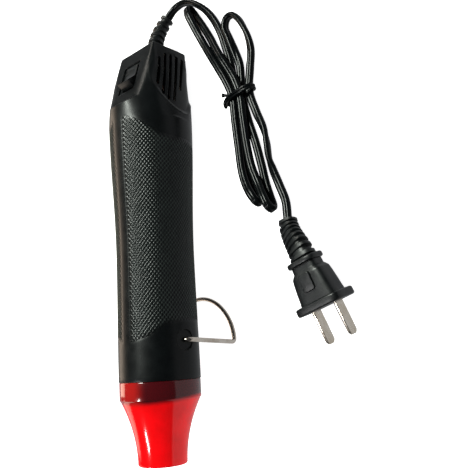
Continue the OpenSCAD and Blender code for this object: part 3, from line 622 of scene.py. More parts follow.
class Finishes:
    """All finishes of the tool but the guard's, made once."""

    def __init__(self) -> None:
        """Makes the materials."""
        # Glass-filled polyamide, moulded: a satin, slightly green black that greys in the light
        self.housing = MouldedPlastic("moulded_polyamide_black", "#090d0e", "#060809", gloss=(0.3, 0.38),
                                      grain_mm=0.3, grain_height_mm=0.012, shine=0.24).make()
        # The same plastic in the grip, with glossier ridges that hands have polished, painted lighter as a painted
        # highlight
        self.grip = PolishedRidgesPaintedHighlight().make()
        # Polycarbonate switch, moulded: black with a clear gloss
        self.switch = MouldedPlastic("moulded_polycarbonate_black", "#101314", "#0a0c0d", gloss=(0.26, 0.36),
                                     grain_mm=0.6, grain_height_mm=0.01, ior=1.58, shine=0.45).make()
        # Inner pieces of phenolic plastic, moulded: plain dull black
        self.inner = MouldedPlastic("moulded_phenolic_black", "#17191a", "#101112", gloss=(0.5, 0.65),
                                    grain_mm=0.4).make()
        # Soft PVC of the cord, extruded: a deep glossy black with long highlights
        self.cord = MouldedPlastic("extruded_pvc_black", "#080b0c", "#050708", gloss=(0.2, 0.28),
                                   grain_mm=2.5, grain_height_mm=0.003, ior=1.54, shine=0.16).make()
        # PVC of the plug and the boots, moulded over the cord: satin black with a fine speckle
        self.boot = MouldedPlastic("moulded_pvc_black", "#0c1011", "#070a0b", gloss=(0.34, 0.46),
                                   grain_mm=0.55, grain_height_mm=0.06, ior=1.54, shine=0.5).make()
        # Silicone rubber of the leads, extruded: a dull dark red
        self.leads = MouldedPlastic("extruded_silicone_red", "#4f1814", "#3a110e", gloss=(0.5, 0.6),
                                    grain_mm=0.5, grain_height_mm=0.01).make()
        # Epoxy board with a green solder mask, etched: smooth and half glossy
        self.board = MouldedPlastic("etched_epoxy_green", "#1f6b3a", "#174f2b", gloss=(0.25, 0.35),
                                    grain_mm=0.8, grain_height_mm=0.005, coat=0.3).make()
        # Steel wire, drawn and nickel plated: warm and bright
        self.wire = Metal("drawn_wire_nickel_plated", "#f0e6da", "#d2c4b4", gloss=(0.14, 0.26)).make()
        # Brass strip, rolled and nickel plated: pale gold of the plug's blades
        self.blades = Metal("rolled_brass_nickel_plated", "#f8eee0", "#e4d6c2", gloss=(0.2, 0.3)).make()
        # Steel sheet, rolled: grey with a faint heat stain
        self.steel = Metal("rolled_steel_sheet", "#b9b6b1", "#8f8a86", gloss=(0.28, 0.42)).make()
        # Copper wire, drawn and enamelled: a soft red brown
        self.copper = Metal("drawn_copper_enamelled", "#c07a45", "#8f5127", gloss=(0.25, 0.4)).make()
        # Mica board, pressed: pale flakes
        self.mica = MicaBoard().make()

    def by_slot(self) -> dict:
        """Materials by the slot names of the record."""
        return {
            "housing_plastic": self.housing, "switch_plastic": self.switch, "inner_plastic": self.inner,
            "steel": self.steel, "nickel_wire": self.wire, "mica": self.mica, "copper": self.copper,
            "lead_insulation": self.leads, "board_laminate": self.board, "cord_pvc": self.cord,
        }


# Frames of reference


@dataclass
class GunFrame:
    """Where the gun lies in the part's frame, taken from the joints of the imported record."""

    pivot: Array
    along: Array
    up: Array = field(init=False)

    def __post_init__(self) -> None:
        """The up direction is square to the axis, in the upright plane."""
        self.up = np.array([-self.along[2], 0.0, self.along[0]])

    @classmethod
    def from_joints(cls, joints: list) -> "GunFrame":
        """Reads the stand's pivot and the fan's axis.

        Args:
            joints: the frame's joints.

        Returns:
            The gun's frame, with its axis towards the cord.
        """
        by_name = {j["name"]: j for j in joints}
        pivot = np.array(by_name["stand_swing"]["pos_m"], float) / MM
        axis = unit(np.array(by_name["fan_spin"]["axis"], float))
        return cls(pivot, axis if axis[0] > 0 else -axis)

    def place(self, s: Array, y: Array, h: Array) -> Array:
        """Points of the gun, in the part's frame and still in millimetres.

        Formula: pivot + (s - PIVOT_S) times the axis + y across + h times the up direction.

        Args:
            s: distance along the axis from the front edge of the housing.
            y: distance across.
            h: distance from the axis, up.

        Returns:
            Places, with one more axis than the arguments.
        """
        s, y, h = np.broadcast_arrays(np.asarray(s, float), np.asarray(y, float), np.asarray(h, float))
        return (self.pivot + (s - PIVOT_S)[..., None] * self.along + y[..., None] * ACROSS
                + h[..., None] * self.up)

    def turned(self, degrees: float) -> tuple[Array, Array]:
        """The axis leaned downwards, and the direction square to it, upwards and back.

        Args:
            degrees: how far the axis leans.

        Returns:
            The two directions.
        """
        a = np.radians(degrees)
        return np.cos(a) * self.along - np.sin(a) * self.up, np.sin(a) * self.along + np.cos(a) * self.up


@dataclass
class StudioCamera:
    """The photograph's viewpoint: above the near side, with the nozzle towards the bottom."""

    position: tuple = (-41.654, -241.255, 236.730)
    back: tuple = (-0.13193, -0.65803, 0.74134)
    up: tuple = (0.98321, -0.18198, 0.01344)
    focal_px: float = 600.0
    frame_px: float = 470.0
    sensor: float = 36.0

    def build(self) -> None:
        """Makes the camera and sets it as the scene's own."""
        back = unit(np.array(self.back))
        right = unit(np.cross(np.array(self.up), back))
        data = bpy.data.cameras.new("camera")
        data.sensor_width = self.sensor
        data.sensor_fit = "HORIZONTAL"
        data.lens = self.sensor * self.focal_px / self.frame_px
        data.clip_start = 0.01
        obj = bpy.data.objects.new("camera", data)
        rows = np.eye(4)
        rows[:3, :] = np.stack([right, np.cross(back, right), back, np.array(self.position) * MM], axis=1)
        obj.matrix_world = Matrix(rows.tolist())
        bpy.context.scene.collection.objects.link(obj)
        bpy.context.scene.camera = obj


# Cord, tie and boots


@dataclass
class PowerCord:
    """Flat twin cord: from the boot through the tied hank to the plug, on one centre line."""

    width: float = 4.7
    lobe_r: float = 1.55
    length: float = 0.66
    # Places on the table in millimetres, and the roll of the flat section in degrees
    route: tuple = (
        (134, -5, 4.6, 70), (137.5, -8.6, 3.3, 80), (139, -14, 2.6, 85), (137.2, -21, 2.5, 80),
        (130.5, -29.6, 2.4, 60), (122, -36, 2.0, 20), (112, -40.4, 1.7, 0), (100, -43.4, 1.7, 0),
        (87, -45.4, 1.7, 0), (72, -44.9, 1.7, 0), (58, -46.3, 1.7, 0), (44, -46.3, 1.7, 0),
        (31, -46.4, 1.7, 0), (22, -49, 1.7, 0), (16.6, -51.8, 1.8, 0), (13.6, -53.6, 2.8, 0),
        (12.6, -54.2, 4.5, 0), (13.6, -53.6, 6.3, 0), (17, -51.6, 7.0, 0), (23, -48.4, 6.2, 0),
        (31, -46, 5.2, 0), (44, -45.6, 4.9, 0), (58, -45.6, 4.9, 0), (72, -45.8, 4.9, 0),
        (80, -43.4, 4.9, 0), (90, -38.8, 4.9, 0), (100, -33.6, 4.4, 0), (112, -28.0, 4.4, 0),
        (121, -25.2, 6.2, 0), (127.5, -23.2, 7.0, 0), (131, -22.4, 6.0, 0), (131.9, -22.2, 4.4, 0),
        (131, -22.6, 2.7, 0), (127, -24.4, 1.8, 0), (119, -28.8, 1.7, 0), (110, -33.4, 2.0, 0),
        (103, -37, 3.3, 0), (96, -41, 4.8, 0), (87, -45.6, 4.9, 0), (80, -48.8, 4.9, 0),
        (72, -50.8, 4.9, 0), (58, -51, 4.9, 0), (44, -51.2, 4.8, 0), (32, -52.4, 4.8, 0),
        (22, -55.6, 5.2, 0), (14, -59.2, 6.9, 0), (9.6, -61, 6.6, 0), (7.8, -61.8, 4.6, 0),
        (9.4, -61.2, 2.6, 0), (14, -59.6, 1.8, 0), (22, -57.8, 1.7, 0), (32, -56.6, 1.7, 0),
        (44, -54.8, 1.7, 0), (58, -51.8, 1.7, 0), (72, -50.0, 1.7, 0), (80, -50.8, 1.7, 0),
        (88, -51.2, 1.8, 10), (96, -49.4, 2.2, 40), (105, -46.9, 2.5, 75), (111.5, -45.2, 2.6, 85),
        (115.6, -47.2, 2.6, 90), (116, -51, 2.6, 90), (112.6, -54.6, 2.6, 85), (106.5, -57.6, 2.5, 70),
        (100, -59.5, 2.2, 40), (93, -59.9, 1.8, 10), (84, -57.8, 1.7, 0), (72, -55.2, 1.7, 0),
        (60, -57.8, 1.7, 0), (50, -61.2, 1.9, 30), (42, -62.4, 2.4, 70), (34, -62.5, 2.4, 60),
        (28, -63.5, 1.9, 20), (19, -66.1, 1.8, 0), (10, -69.2, 2.7, 0), (1, -70, 4.2, 0),
    )
    step: float = 0.9
    section_points: int = 28
    table_gap: float = 0.05

    def build(self, finish: Paint) -> tuple[Piece, Array]:
        """Sweeps the twin section along the route.

        Formula: a ray at angle a meets the farther of two circles of radius r, whose centres lie
        c to each side, at c |cos a| + sqrt(r^2 - c^2 sin^2 a); that leaves the groove between them.

        Args:
            finish: the cord's material.

        Returns:
            The cord and its centre line in metres.
        """
        rows = smooth_path(np.array(self.route, float), self.step)
        line, roll = rows[:, :3], np.radians(rows[:, 3:])
        level, rise = level_frames(line)
        a = np.linspace(0, 2 * np.pi, self.section_points, endpoint=False)
        c = self.width / 2 - self.lobe_r
        reach = c * np.abs(np.cos(a)) + np.sqrt(self.lobe_r**2 - (c * np.sin(a)) ** 2)
        wide = level * np.cos(roll) + rise * np.sin(roll)
        thick = rise * np.cos(roll) - level * np.sin(roll)
        u, v = (reach * np.cos(a))[:, None], (reach * np.sin(a))[:, None]
        rings = line[:, None, :] + wide[:, None, :] * u + thick[:, None, :] * v
        rings[..., 2] = np.maximum(rings[..., 2], self.table_gap)
        return dress(closed_loft("power_cord_twin", rings, 60), finish), line * MM


@dataclass
class CordBoot:
    """Ribbed strain relief at the tail: a neck through the end face, then rings on a bent core."""

    rib_r: tuple = (4.9, 3.8)
    groove: float = 1.0
    ribs: int = 6
    # Shares of a pitch between which a rib's flank falls
    flank: tuple = (0.30, 0.20)
    # Shares of the length where the first ring ends, and the waist behind it, and the last rib
    rings: tuple = (0.075, 0.12, 0.985)
    end: tuple = (134.0, -5.0, 4.6)
    end_aim: tuple = (3.5, -3.6, -1.4)
    # Inside the housing: a flange behind the end wall, then the neck through it
    flange_r: float = 6.2
    flange_t: float = 2.0
    neck_r: float = 4.15

    def build(self, gun: GunFrame, housing: "Housing", finish: Paint) -> Piece:
        """A round section along the boot's curve; its radius steps between rib and groove.

        Args:
            gun: the gun's frame.
            housing: the shells, for the place and thickness of the end wall.
            finish: the boot's material.

        Returns:
            The boot.
        """
        start = gun.place(housing.tail_s - housing.end_wall - self.flange_t - 0.1, 0, housing.entry_h)
        face = gun.place(housing.tail_s + 0.1, 0, housing.entry_h)
        end = np.array(self.end)
        curve = bezier(face, face + 10 * gun.along, end - 9 * unit(np.array(self.end_aim)), end, 90)
        straight = start + (face - start) * np.linspace(0, 1, 20, endpoint=False)[:, None]
        even, line = even_rows(np.vstack([straight, curve]), 260)
        inner = np.linalg.norm(face - start)
        t = (even - inner) / (even[-1] - inner)
        big, small = self.rib_r
        phase = (t * (self.ribs + 0.7) - 1.35) % 1.0
        rib = smoothstep(*self.flank, np.minimum(phase, 1 - phase))
        ring, waist, last = self.rings
        radius = np.select(
            [even < self.flange_t, even < inner, t < ring, t < waist, t > last],
            [self.flange_r, self.neck_r, big + 0.5, big - 1.1, small - 0.6],
            big + (small - big) * t - self.groove * (1 - rib)
        )
        boot = sweep("cord_boot_ribbed", line, level_frames(line), radius, radius, oval(40))
        return dress(boot, finish)


@dataclass
class WireTie:
    """Black plastic-coated wire, twice round the hank, with a small loop and a bent end."""

    at: tuple = (71.5, -50.1, 3.5)
    half_width: float = 9.3
    half_height: float = 4.2
    lean_deg: float = 8.0
    wire_r: float = 0.75
    eye_wire_r: float = 0.6
    eye_r: float = 1.9
    # Half-width and half-height of the wraps go by sine and cosine to this power
    squareness: float = 0.8

    def wire(self, name: str, line: Array, radius: Array | float) -> Piece:
        """One length of the tie's wire, round in section."""
        return sweep(name, line, level_frames(line), radius, radius, oval(12), 50)

    def build(self, finish: Paint) -> Piece:
        """Formula: an oval round the hank, x shifts by a wire's width a turn, then a small circle.

        Args:
            finish: the tie's material.

        Returns:
            The tie.
        """
        a = np.linspace(-0.35 * np.pi, 3.75 * np.pi, 150)
        y, z = (np.sign(w) * np.abs(w) ** self.squareness for w in (np.cos(a), np.sin(a)))
        low = self.wire_r + 0.1 - self.at[2]
        wrap = np.stack([(a / np.pi - 1.7) * 1.05 * self.wire_r, self.half_width * y,
                         np.maximum(self.half_height * z, low)], axis=1)
        lean = np.radians(self.lean_deg)
        turn = np.array([[np.cos(lean), -np.sin(lean), 0], [np.sin(lean), np.cos(lean), 0], [0, 0, 1]])
        side = np.array(self.at) + np.array([-0.6, self.half_width - 0.6, 1.4])
        b = np.linspace(0, 1.9 * np.pi, 46)
        eye = np.stack([-1.7 + self.eye_r * np.cos(b), 0.9 * b / np.pi, self.eye_r * np.sin(b) * 0.7], axis=1)
        tail = smooth_path(side + np.array([[2.6, -1.2, -0.4], [3.2, 0.6, -0.2], [3.6, 2.0, 0.2]]), 0.25)
        knob = self.wire_r + 0.45 * smoothstep(0.4, 1.0, np.linspace(0, 1, len(tail)))
        return dress(join("wire_tie", [
            self.wire("wire_tie_wraps", wrap @ turn.T + np.array(self.at), self.wire_r),
            self.wire("wire_tie_eye", side + eye, self.eye_wire_r),
            self.wire("wire_tie_end", tail, knob),
        ]), finish)


@dataclass
class Plug:
    """Two-pin mains plug: front flange, waisted body with a raised pad, collar, boot and blades."""

    at: tuple = (-42.6, -88.4, 9.012)
    turn_deg: float = 196.0
    tilt_deg: float = 8.0
    # Width, height and thickness
    flange: tuple = (25.2, 18.0, 3.9)
    # Distance behind the front face, half-width and half-height of the body
    body: tuple = (
        (3.7, 10.3, 6.6), (6.0, 9.9, 6.5), (10.0, 9.5, 6.35), (14.0, 9.0, 6.1), (16.6, 8.5, 5.9),
        (17.8, 7.6, 5.4), (18.5, 6.9, 5.0), (21.2, 6.8, 4.9),
    )
    # Start and end behind the front face, half-width and half-height
    collar: tuple = (21.3, 23.9, 8.2, 6.3)
    # Middle behind the front face, half-length, half-width, and height above the body
    pad: tuple = (13.0, 4.2, 3.1, 1.0)
    # Thickness, height and length
    blade: tuple = (1.5, 6.3, 16.0)
    blade_pitch: float = 12.7
    entry: tuple = (1.0, -70.0, 4.2)
    before_entry: tuple = (10.0, -69.2, 2.7)
    # Half-width and half-height of the boot's ribs, first and last, and their depth
    rib_half: tuple = (6.7, 4.7)
    rib_high: tuple = (4.2, 3.5)
    rib_depth: tuple = (1.9, 0.9)
    ribs: int = 7
    # Shares of a pitch between which a rib's flank falls, and of the length where the last ring rises
    flank: tuple = (0.30, 0.18)
    last_ring: tuple = (0.9, 0.915)

    def axes(self) -> tuple[Array, Array, Array]:
        """The blades' direction, the direction across them, and up from the plug's broad side.

        Returns:
            The three directions.
        """
        turn, tilt = np.radians(self.turn_deg), np.radians(self.tilt_deg)
        ahead = np.array([np.cos(turn) * np.cos(tilt), np.sin(turn) * np.cos(tilt), -np.sin(tilt)])
        across = unit(np.cross(np.array([0.0, 0.0, 1.0]), ahead))
        return ahead, across, np.cross(ahead, across)

    def loft(self, name: str, rows: Array, power: float, count: int = 96) -> Piece:
        """Squared ovals along the plug's axis.

        Args:
            name: the piece's name.
            rows: distance behind the front face, half-width and half-height.
            power: how square the ovals are.
            count: points of an oval.

        Returns:
            The solid.
        """
        ahead, across, rise = self.axes()
        path = np.array(self.at) - rows[:, :1] * ahead
        return sweep(name, path, (across, rise), rows[:, 1], rows[:, 2], oval(count, power), 30)

    def pad_block(self) -> Piece:
        """Raised pad on the broad side: a rounded rectangle that grows out of the shell.

        Returns:
            The pad, with its upper edge rounded by a quarter circle.
        """
        ahead, across, rise = self.axes()
        middle, half_long, half_wide, height = self.pad
        back, _, high = np.array(self.body).T
        top = float(np.interp(middle, back, high)) + height
        a = np.linspace(0, np.pi / 2, 6)
        edge, root, flare = 0.35, 2.6, 0.25
        levels = np.concatenate([[top - root], top - edge + edge * np.sin(a)])
        inset = np.concatenate([[-flare], edge * (1 - np.cos(a))])
        path = np.array(self.at) - middle * ahead + levels[:, None] * rise
        outline = oval(64, 7.0)
        return sweep("plug_pad", path, (ahead, across), half_long - inset, half_wide - inset, outline, 30)

    def shell(self) -> Piece:
        """Body behind the flange, through even rows of its profile.

        Returns:
            The shell.
        """
        back, wide, high = np.array(self.body).T
        even = np.linspace(back[0], back[-1], 60)
        rows = np.stack([even, np.interp(even, back, wide), np.interp(even, back, high)], axis=1)
        return self.loft("plug_shell", rows, 4.5, 128)

    def slab(self, name: str, spans: tuple, edge: float, power: float) -> Piece:
        """A plate across the axis whose rim is rounded by quarter circles.

        Args:
            name: the piece's name.
            spans: start and end behind the front face, half-width and half-height.
            edge: radius of the rim.
            power: how square the plate is.

        Returns:
            The plate.
        """
        start, end, wide, high = spans
        a = np.linspace(0, np.pi / 2, 7)
        inset = edge * (1 - np.sin(a))
        step = edge * (1 - np.cos(a))
        rows = np.vstack([
            np.stack([start + step, wide - inset, high - inset], axis=1),
            np.stack([end - step, wide - inset, high - inset], axis=1)[::-1],
        ])
        return self.loft(name, rows, power)

    def build_body(self, finish: Paint) -> Piece:
        """Flange, shell, pad and collar, joined.

        Args:
            finish: the material.

        Returns:
            The plug's moulding.
        """
        wide, high, thick = self.flange
        body = join("plug_moulding", [
            self.shell(), self.pad_block(),
            self.slab("plug_flange", (0.0, thick, wide / 2, high / 2), 0.9, 5.5),
            self.slab("plug_collar", self.collar, 0.8, 3.6),
        ])
        shade(body, 30)
        return dress(body, finish)

    def build_boot(self, finish: Paint) -> Piece:
        """Oval ribs along the boot's curve, with a smooth neck first and a thick ring at the end.

        Args:
            finish: the material.

        Returns:
            The boot.
        """
        ahead, _, _ = self.axes()
        start = np.array(self.at) - ahead * self.collar[1]
        entry = np.array(self.entry)
        aim = unit(np.array(self.before_entry) - entry)
        line = bezier(start + ahead * 0.4, start - 9 * ahead - [0, 0, 1], entry - 9 * aim, entry, 240)
        t = np.linspace(0, 1, 240)
        phase = (t * (self.ribs + 0.9) - 0.4) % 1.0
        rib = smoothstep(*self.flank, np.minimum(phase, 1 - phase))
        last = smoothstep(*self.last_ring, t) * smoothstep(1.0, 0.985, t)
        rib = np.where(t > self.last_ring[0], last, rib)
        wide, high = (first + (last - first) * t - depth * (1 - rib) for (first, last), depth
                      in zip((self.rib_half, self.rib_high), self.rib_depth))
        boot = sweep("plug_boot_ribbed", line, level_frames(line), wide, high, oval(40, 2.6))
        return dress(boot, finish)

    def build_blades(self, finish: Paint) -> Piece:
        """Two flat blades with eased edges and chamfered tips.

        Args:
            finish: the material.

        Returns:
            The pair of blades.
        """
        ahead, across, rise = self.axes()
        thick, high, length = self.blade
        reach = np.array([-1.0, 0.0, length - 1.7, length - 0.9, length - 0.25, length])
        half_h = np.array([1.0, 1.0, 1.0, 0.86, 0.66, 0.56]) * high / 2
        half_t = np.array([1.0, 1.0, 1.0, 0.82, 0.55, 0.3]) * thick / 2
        parts = []
        for sign in (-1, 1):
            path = np.array(self.at) + sign * self.blade_pitch / 2 * across + reach[:, None] * ahead
            parts.append(sweep(f"blade_{sign}", path, (across, rise), half_t, half_h, oval(32, 9.0), 30))
        return dress(join("plug_blades_pair", parts), finish)


# Gun


@dataclass
class NozzleGuard:
    """Red guard: a ring over the collar, then a flare that curves in to the mouth."""

    ring_r: float = 20.5
    ring_len: float = 8.9
    flare_r: float = 20.2
    mouth_r: float = 12.2
    bore_r: float = 10.8
    bore_len: float = 4.0
    flare_len: float = 31.5
    wall: float = 1.6
    edge: float = 0.45
    rim_edge: float = 0.8

    def flare(self, t: Array) -> Array:
        """Radius at t behind the ring: the mouth's, plus the rest times (1 - t / length) squared."""
        return self.mouth_r + (self.flare_r - self.mouth_r) * (1 - t / self.flare_len) ** 2

    def profile(self) -> Array:
        """Outline of the wall: over the outside to the rim, then back along the inside.

        Returns:
            Rows of s and radius, whose last row is the first again.
        """
        e, rim = self.edge, self.rim_edge
        a = np.linspace(0, np.pi / 2, 5)
        full = self.ring_len + self.flare_len
        t = np.linspace(0.5, self.flare_len - 1.0, 44)
        inner_t = np.linspace(self.flare_len - self.bore_len - 1.0, 0, 30)
        inner = np.maximum(self.flare(inner_t) - self.wall, self.bore_r)
        top = self.flare(self.flare_len - 1.0)
        return np.vstack([
            [[0, self.ring_r - self.wall]],
            np.stack([-e + e * np.cos(a), self.ring_r - e + e * np.sin(a)], axis=1),
            [[-self.ring_len * 0.5, self.ring_r], [-self.ring_len + 0.25, self.ring_r]],
            [[-self.ring_len, self.ring_r - 0.12], [-self.ring_len - 0.15, self.flare_r - 0.05]],
            np.stack([-self.ring_len - t, self.flare(t)], axis=1),
            np.stack([-full + rim - rim * np.sin(a), top - rim + rim * np.cos(a)], axis=1),
            [[-full, self.bore_r + 0.3], [-full + 0.3, self.bore_r], [-full + self.bore_len, self.bore_r]],
            np.stack([-self.ring_len - inner_t, inner], axis=1),
            [[-self.ring_len + 0.5, self.ring_r - self.wall], [0, self.ring_r - self.wall]],
        ])

    def build(self, gun: GunFrame) -> Piece:
        """Turns the outline round the gun's axis; the outline is closed, so the mesh is too.

        Args:
            gun: the gun's frame.

        Returns:
            The guard, dressed in its own red.
        """
        s, radius = self.profile().T[..., None]
        a = np.linspace(0, 2 * np.pi, 144, endpoint=False)
        points = gun.place(s, radius * np.sin(a), radius * np.cos(a))
        guard = mesh_object("nozzle_guard_red", points * MM, grid_faces(*points.shape[:2], Lay.RING), 32)
        return dress(guard, TintedGuard(gun.place(-self.ring_len, 0, 0)[0]).make())


@dataclass
class WireStand:
    """Bent wire: pins in both sides, two arms, and a half-round bow that lies on the table."""

    wire_r: float = 1.15
    pin_r: float = 1.09
    half: float = 22.4
    arm: float = 33.2
    arm_slope_deg: float = 8.84
    shoulder_r: float = 2.6
    foot_r: float = 1.8
    foot_straight: float = 0.4
    pin_y: float = 15.6
    # Half-width beyond which the wire has its full thickness
    pin_end_y: float = 20.6

    def route(self) -> Array:
        """Centre line from one pin to the other, with every corner a circular arc.

        Returns:
            Rows of places round the pivot.
        """
        slope = np.radians(self.arm_slope_deg)
        down = np.array([-np.sin(slope), 0.0, -np.cos(slope)])
        ahead, up = np.array([1.0, 0.0, 0.0]), np.array([0.0, 0.0, 1.0])
        turn = np.pi / 2 + slope
        tangent = self.foot_r * np.tan(turn / 2)
        a = np.linspace(0, np.pi / 2, 12)[:, None]
        b = np.linspace(0, turn, 12)[:, None]
        c = np.linspace(0, np.pi / 2, 40)[:, None]
        centre = ACROSS * (self.half - self.shoulder_r) + down * self.shoulder_r
        shoulder = centre + self.shoulder_r * (np.sin(a) * ACROSS - np.cos(a) * down)
        corner = ACROSS * self.half + down * self.arm
        foot_centre = corner + ahead * tangent + up * self.foot_r
        foot = foot_centre - self.foot_r * (np.cos(turn - b) * up + np.sin(turn - b) * ahead)
        bow_start = corner + ahead * (tangent + self.foot_straight)
        bow = bow_start - ACROSS * self.half + self.half * (np.cos(c) * ACROSS + np.sin(c) * ahead)
        half = np.vstack([[ACROSS * self.pin_y], shoulder, foot, bow])
        return np.vstack([half, half[::-1][1:] * np.array([1.0, -1.0, 1.0])])

    def build(self, gun: GunFrame, finish: Paint) -> Piece:
        """Sweeps a round section, thinner where it is a pin.

        Args:
            gun: the gun's frame.
            finish: the wire's material.

        Returns:
            The stand.
        """
        _, line = even_rows(self.route() + gun.pivot, 420)
        radius = np.where(np.abs(line[:, 1]) > self.pin_end_y, self.wire_r, self.pin_r)
        return dress(sweep("stand_bent_wire", line, carried_frames(line), radius, radius, oval(20)), finish)


@dataclass
class Housing:
    """Two shells split along the upright plane, with the tail's flats, vents, dishes and grip."""

    front_r: float = 20.7
    waist_r: float = 20.3
    waist_s: float = 62.0
    belly_r: float = 22.7
    belly_s: float = 141.0
    tail_r: float = 20.8
    tail_s: float = 179.5
    wall: float = 2.2
    end_wall: float = 2.6
    end_edge: float = 0.9
    collar_r: float = 18.75
    collar_s: float = -7.6
    collar_wall: float = 1.8
    # The switch's flat: where it starts, the step down to it, and the slopes of the two
    top_s: float = 143.0
    top_drop: float = 3.2
    top_deg: float = 17.4
    step_deg: float = 58.0
    # The flats between top and side, at the side and underneath
    corner_s: float = 148.0
    corner_deg: float = 13.2
    corner_turn_deg: float = 40.6
    side_s: float = 140.0
    side_deg: float = 11.9
    bottom_deg: float = 6.2
    # Centre lines of the vent slots: s and h of both ends
    slots: tuple = (
        (169.4, 5.9, 153.4, 9.0), (173.3, 1.0, 147.6, 6.7), (174.1, -3.2, 145.4, 3.4),
        (173.9, -7.2, 145.6, -0.4), (173.2, -11.0, 153.7, -6.0),
    )
    slot_w: float = 1.9
    # The round scoop that holds the slots: middle s and h, radius, and depth at its front
    panel: tuple = (157.6, -6.4, 19.0)
    ledge: float = 1.5
    dish_r: float = 5.0
    dish_y: float = 19.8
    pin_hole_r: float = 1.2
    boot_hole_r: float = 4.3
    entry_h: float = -5.0
    # Distance of the switch down its flat, and length, width and depth of its pocket
    switch_at: float = 19.0
    pocket: tuple = (19.4, 14.2, 2.2)
    # Place, height above and below the axis, and depth of the seats of both screw pairs
    screws: tuple = ((44.0, 9.0, 14.2), (124.0, 13.0, 13.2))
    screw_head_r: float = 3.0
    # Width and length of a diamond of the grip, and how deep it is
    cell: tuple = (1.9, 2.4)
    pit_depth: float = 0.2
    ridge_lift: float = 0.05
    seat_depth: float = 0.46
    # How far the grip's sheet lies below the skin, and dips further outside its border
    sunk: tuple = (0.03, 0.4)
    # Borders of the grip: s against degrees from the top
    grip_rear: tuple = ((12, 28, 49, 61, 75, 180), (136, 133.8, 128.9, 125.4, 124, 124))
    grip_front: tuple = ((14, 40, 63, 92, 180), (18.7, 21.4, 26.2, 27.4, 27.4))
    grip_top_deg: float = 7.0
    grip_bottom_deg: float = 176.0

    def barrel(self, s: Array) -> Array:
        """Radius along the axis, eased by half cosine waves from front to waist to belly to tail.

        Args:
            s: distance along the axis.

        Returns:
            The radius.
        """
        front = ease(self.front_r, self.waist_r, s / self.waist_s)
        middle = ease(self.waist_r, self.belly_r, (s - self.waist_s) / (self.belly_s - self.waist_s))
        tail = ease(self.belly_r, self.tail_r, (s - self.belly_s) / (self.tail_s - self.belly_s))
        return np.where(s < self.waist_s, front, np.where(s < self.belly_s, middle, tail))

    def slope(self, start: float, degrees: float, s: Array, drop: float = 0.0) -> Array:
        """Height of a flat that leaves the barrel at start, less a drop, and falls by a slope."""
        return self.barrel(np.array(start)) - drop - (s - start) * np.tan(np.radians(degrees))

    def radius(self, s: Array, theta: Array) -> Array:
        """Distance of the skin from the axis.

        Formula: the softened least of the barrel's radius and, for each flat at distance d whose
        normal is turned by n from the top, d / cos(theta - n). Edges are rounder near the front. The
        top's flat is the higher of the step and the slope after it.

        Args:
            s: distance along the axis.
            theta: angle from the top.

        Returns:
            The distance.
        """
        step = self.slope(self.top_s, self.step_deg, s)
        top = -soft_min(-step, -self.slope(self.top_s, self.top_deg, s, self.top_drop), np.array(1.0))
        flats = [
            (0.0, top), (self.corner_turn_deg, self.slope(self.corner_s, self.corner_deg, s)),
            (90.0, self.slope(self.side_s, self.side_deg, s)),
            (180.0, self.slope(self.belly_s, self.bottom_deg, s)),
        ]
        least = self.barrel(s)
        for turn, distance in flats:
            lean = np.cos(theta - np.radians(turn))
            plane = np.where(lean > 0.15, distance / np.maximum(lean, 0.15), 99.0)
            plane = np.where(s < self.belly_s - 6, 99.0, plane)
            blend = np.where(s < 148, 0.5, 1.0) if turn == 0 else 1.0 + 3.0 * smoothstep(172, 150, s)
            least = soft_min(least, plane, blend)
        return least

    def screw_gap(self, s: Array, theta: Array) -> Array:
        """Distance of a place from the edge of the nearest screw recess, seen along y.

        Args:
            s: distance along the axis.
            theta: angle from the top.

        Returns:
            The distance, below 0 inside a recess.
        """
        height = np.abs(self.radius(s, theta) * np.cos(theta))
        gaps = [np.hypot(s - at, height - z) - self.screw_head_r for at, z, _ in self.screws]
        return np.minimum.reduce(gaps)

    def grip_depth(self, side: Side, s: Array, theta: Array) -> Array:
        """How many millimetres a place lies inside the grip's border.

        The grip's front edge slants back from the top, and its rear edge climbs towards the top. On
        the far side it keeps a plain ring free round every screw.

        Args:
            side: the half of the housing.
            s: distance along the axis.
            theta: angle from the top.

        Returns:
            The distance, below 0 outside.
        """
        degrees = np.degrees(theta)
        ends = np.minimum(np.interp(degrees, *self.grip_rear) - s, s - np.interp(degrees, *self.grip_front))
        # One degree round the barrel is about 0.37 mm
        sides = np.minimum(degrees - self.grip_top_deg, self.grip_bottom_deg - degrees) * 0.37
        inside = np.minimum(ends, sides)
        return inside if side is Side.NEAR else np.minimum(inside, self.screw_gap(s, theta) - 1.3)

    def skin(self, side: Side, s: Array, theta: Array) -> Array:
        """Outer radius with the grip's seat sunk, and the vent panel's rim and floor.

        Formula: the rim is a bell curve of the distance from the panel's middle, and the floor sinks
        inside it, deepest at the front. The panel's reach is shorter below its middle.

        Args:
            side: the half of the housing.
            s: distance along the axis.
            theta: angle from the top.

        Returns:
            The radius.
        """
        base = self.radius(s, theta)
        h, y = base * np.cos(theta), base * np.sin(theta)
        base = base - self.seat_depth * smoothstep(0.0, 2.5, self.grip_depth(side, s, theta))
        centre_s, centre_h, reach = self.panel
        far = np.hypot(s - centre_s, h - centre_h)
        below = np.arctan2(centre_h - h, centre_s - s)
        reach = reach * (1 - 0.26 * smoothstep(0.0, 0.75, below))
        on_side = smoothstep(11.0, 13.0, y) * smoothstep(176.5, 175.0, s)
        rim = np.exp(-(((far - reach) / 0.4) ** 2)) * smoothstep(170, 160, s)
        floor = smoothstep(reach + 0.25, reach - 2.6, far)
        depth = self.ledge * np.clip(1 - (s - self.side_s) / 36.0, 0.15, 1.0)
        return base + on_side * (0.2 * rim - depth * floor)

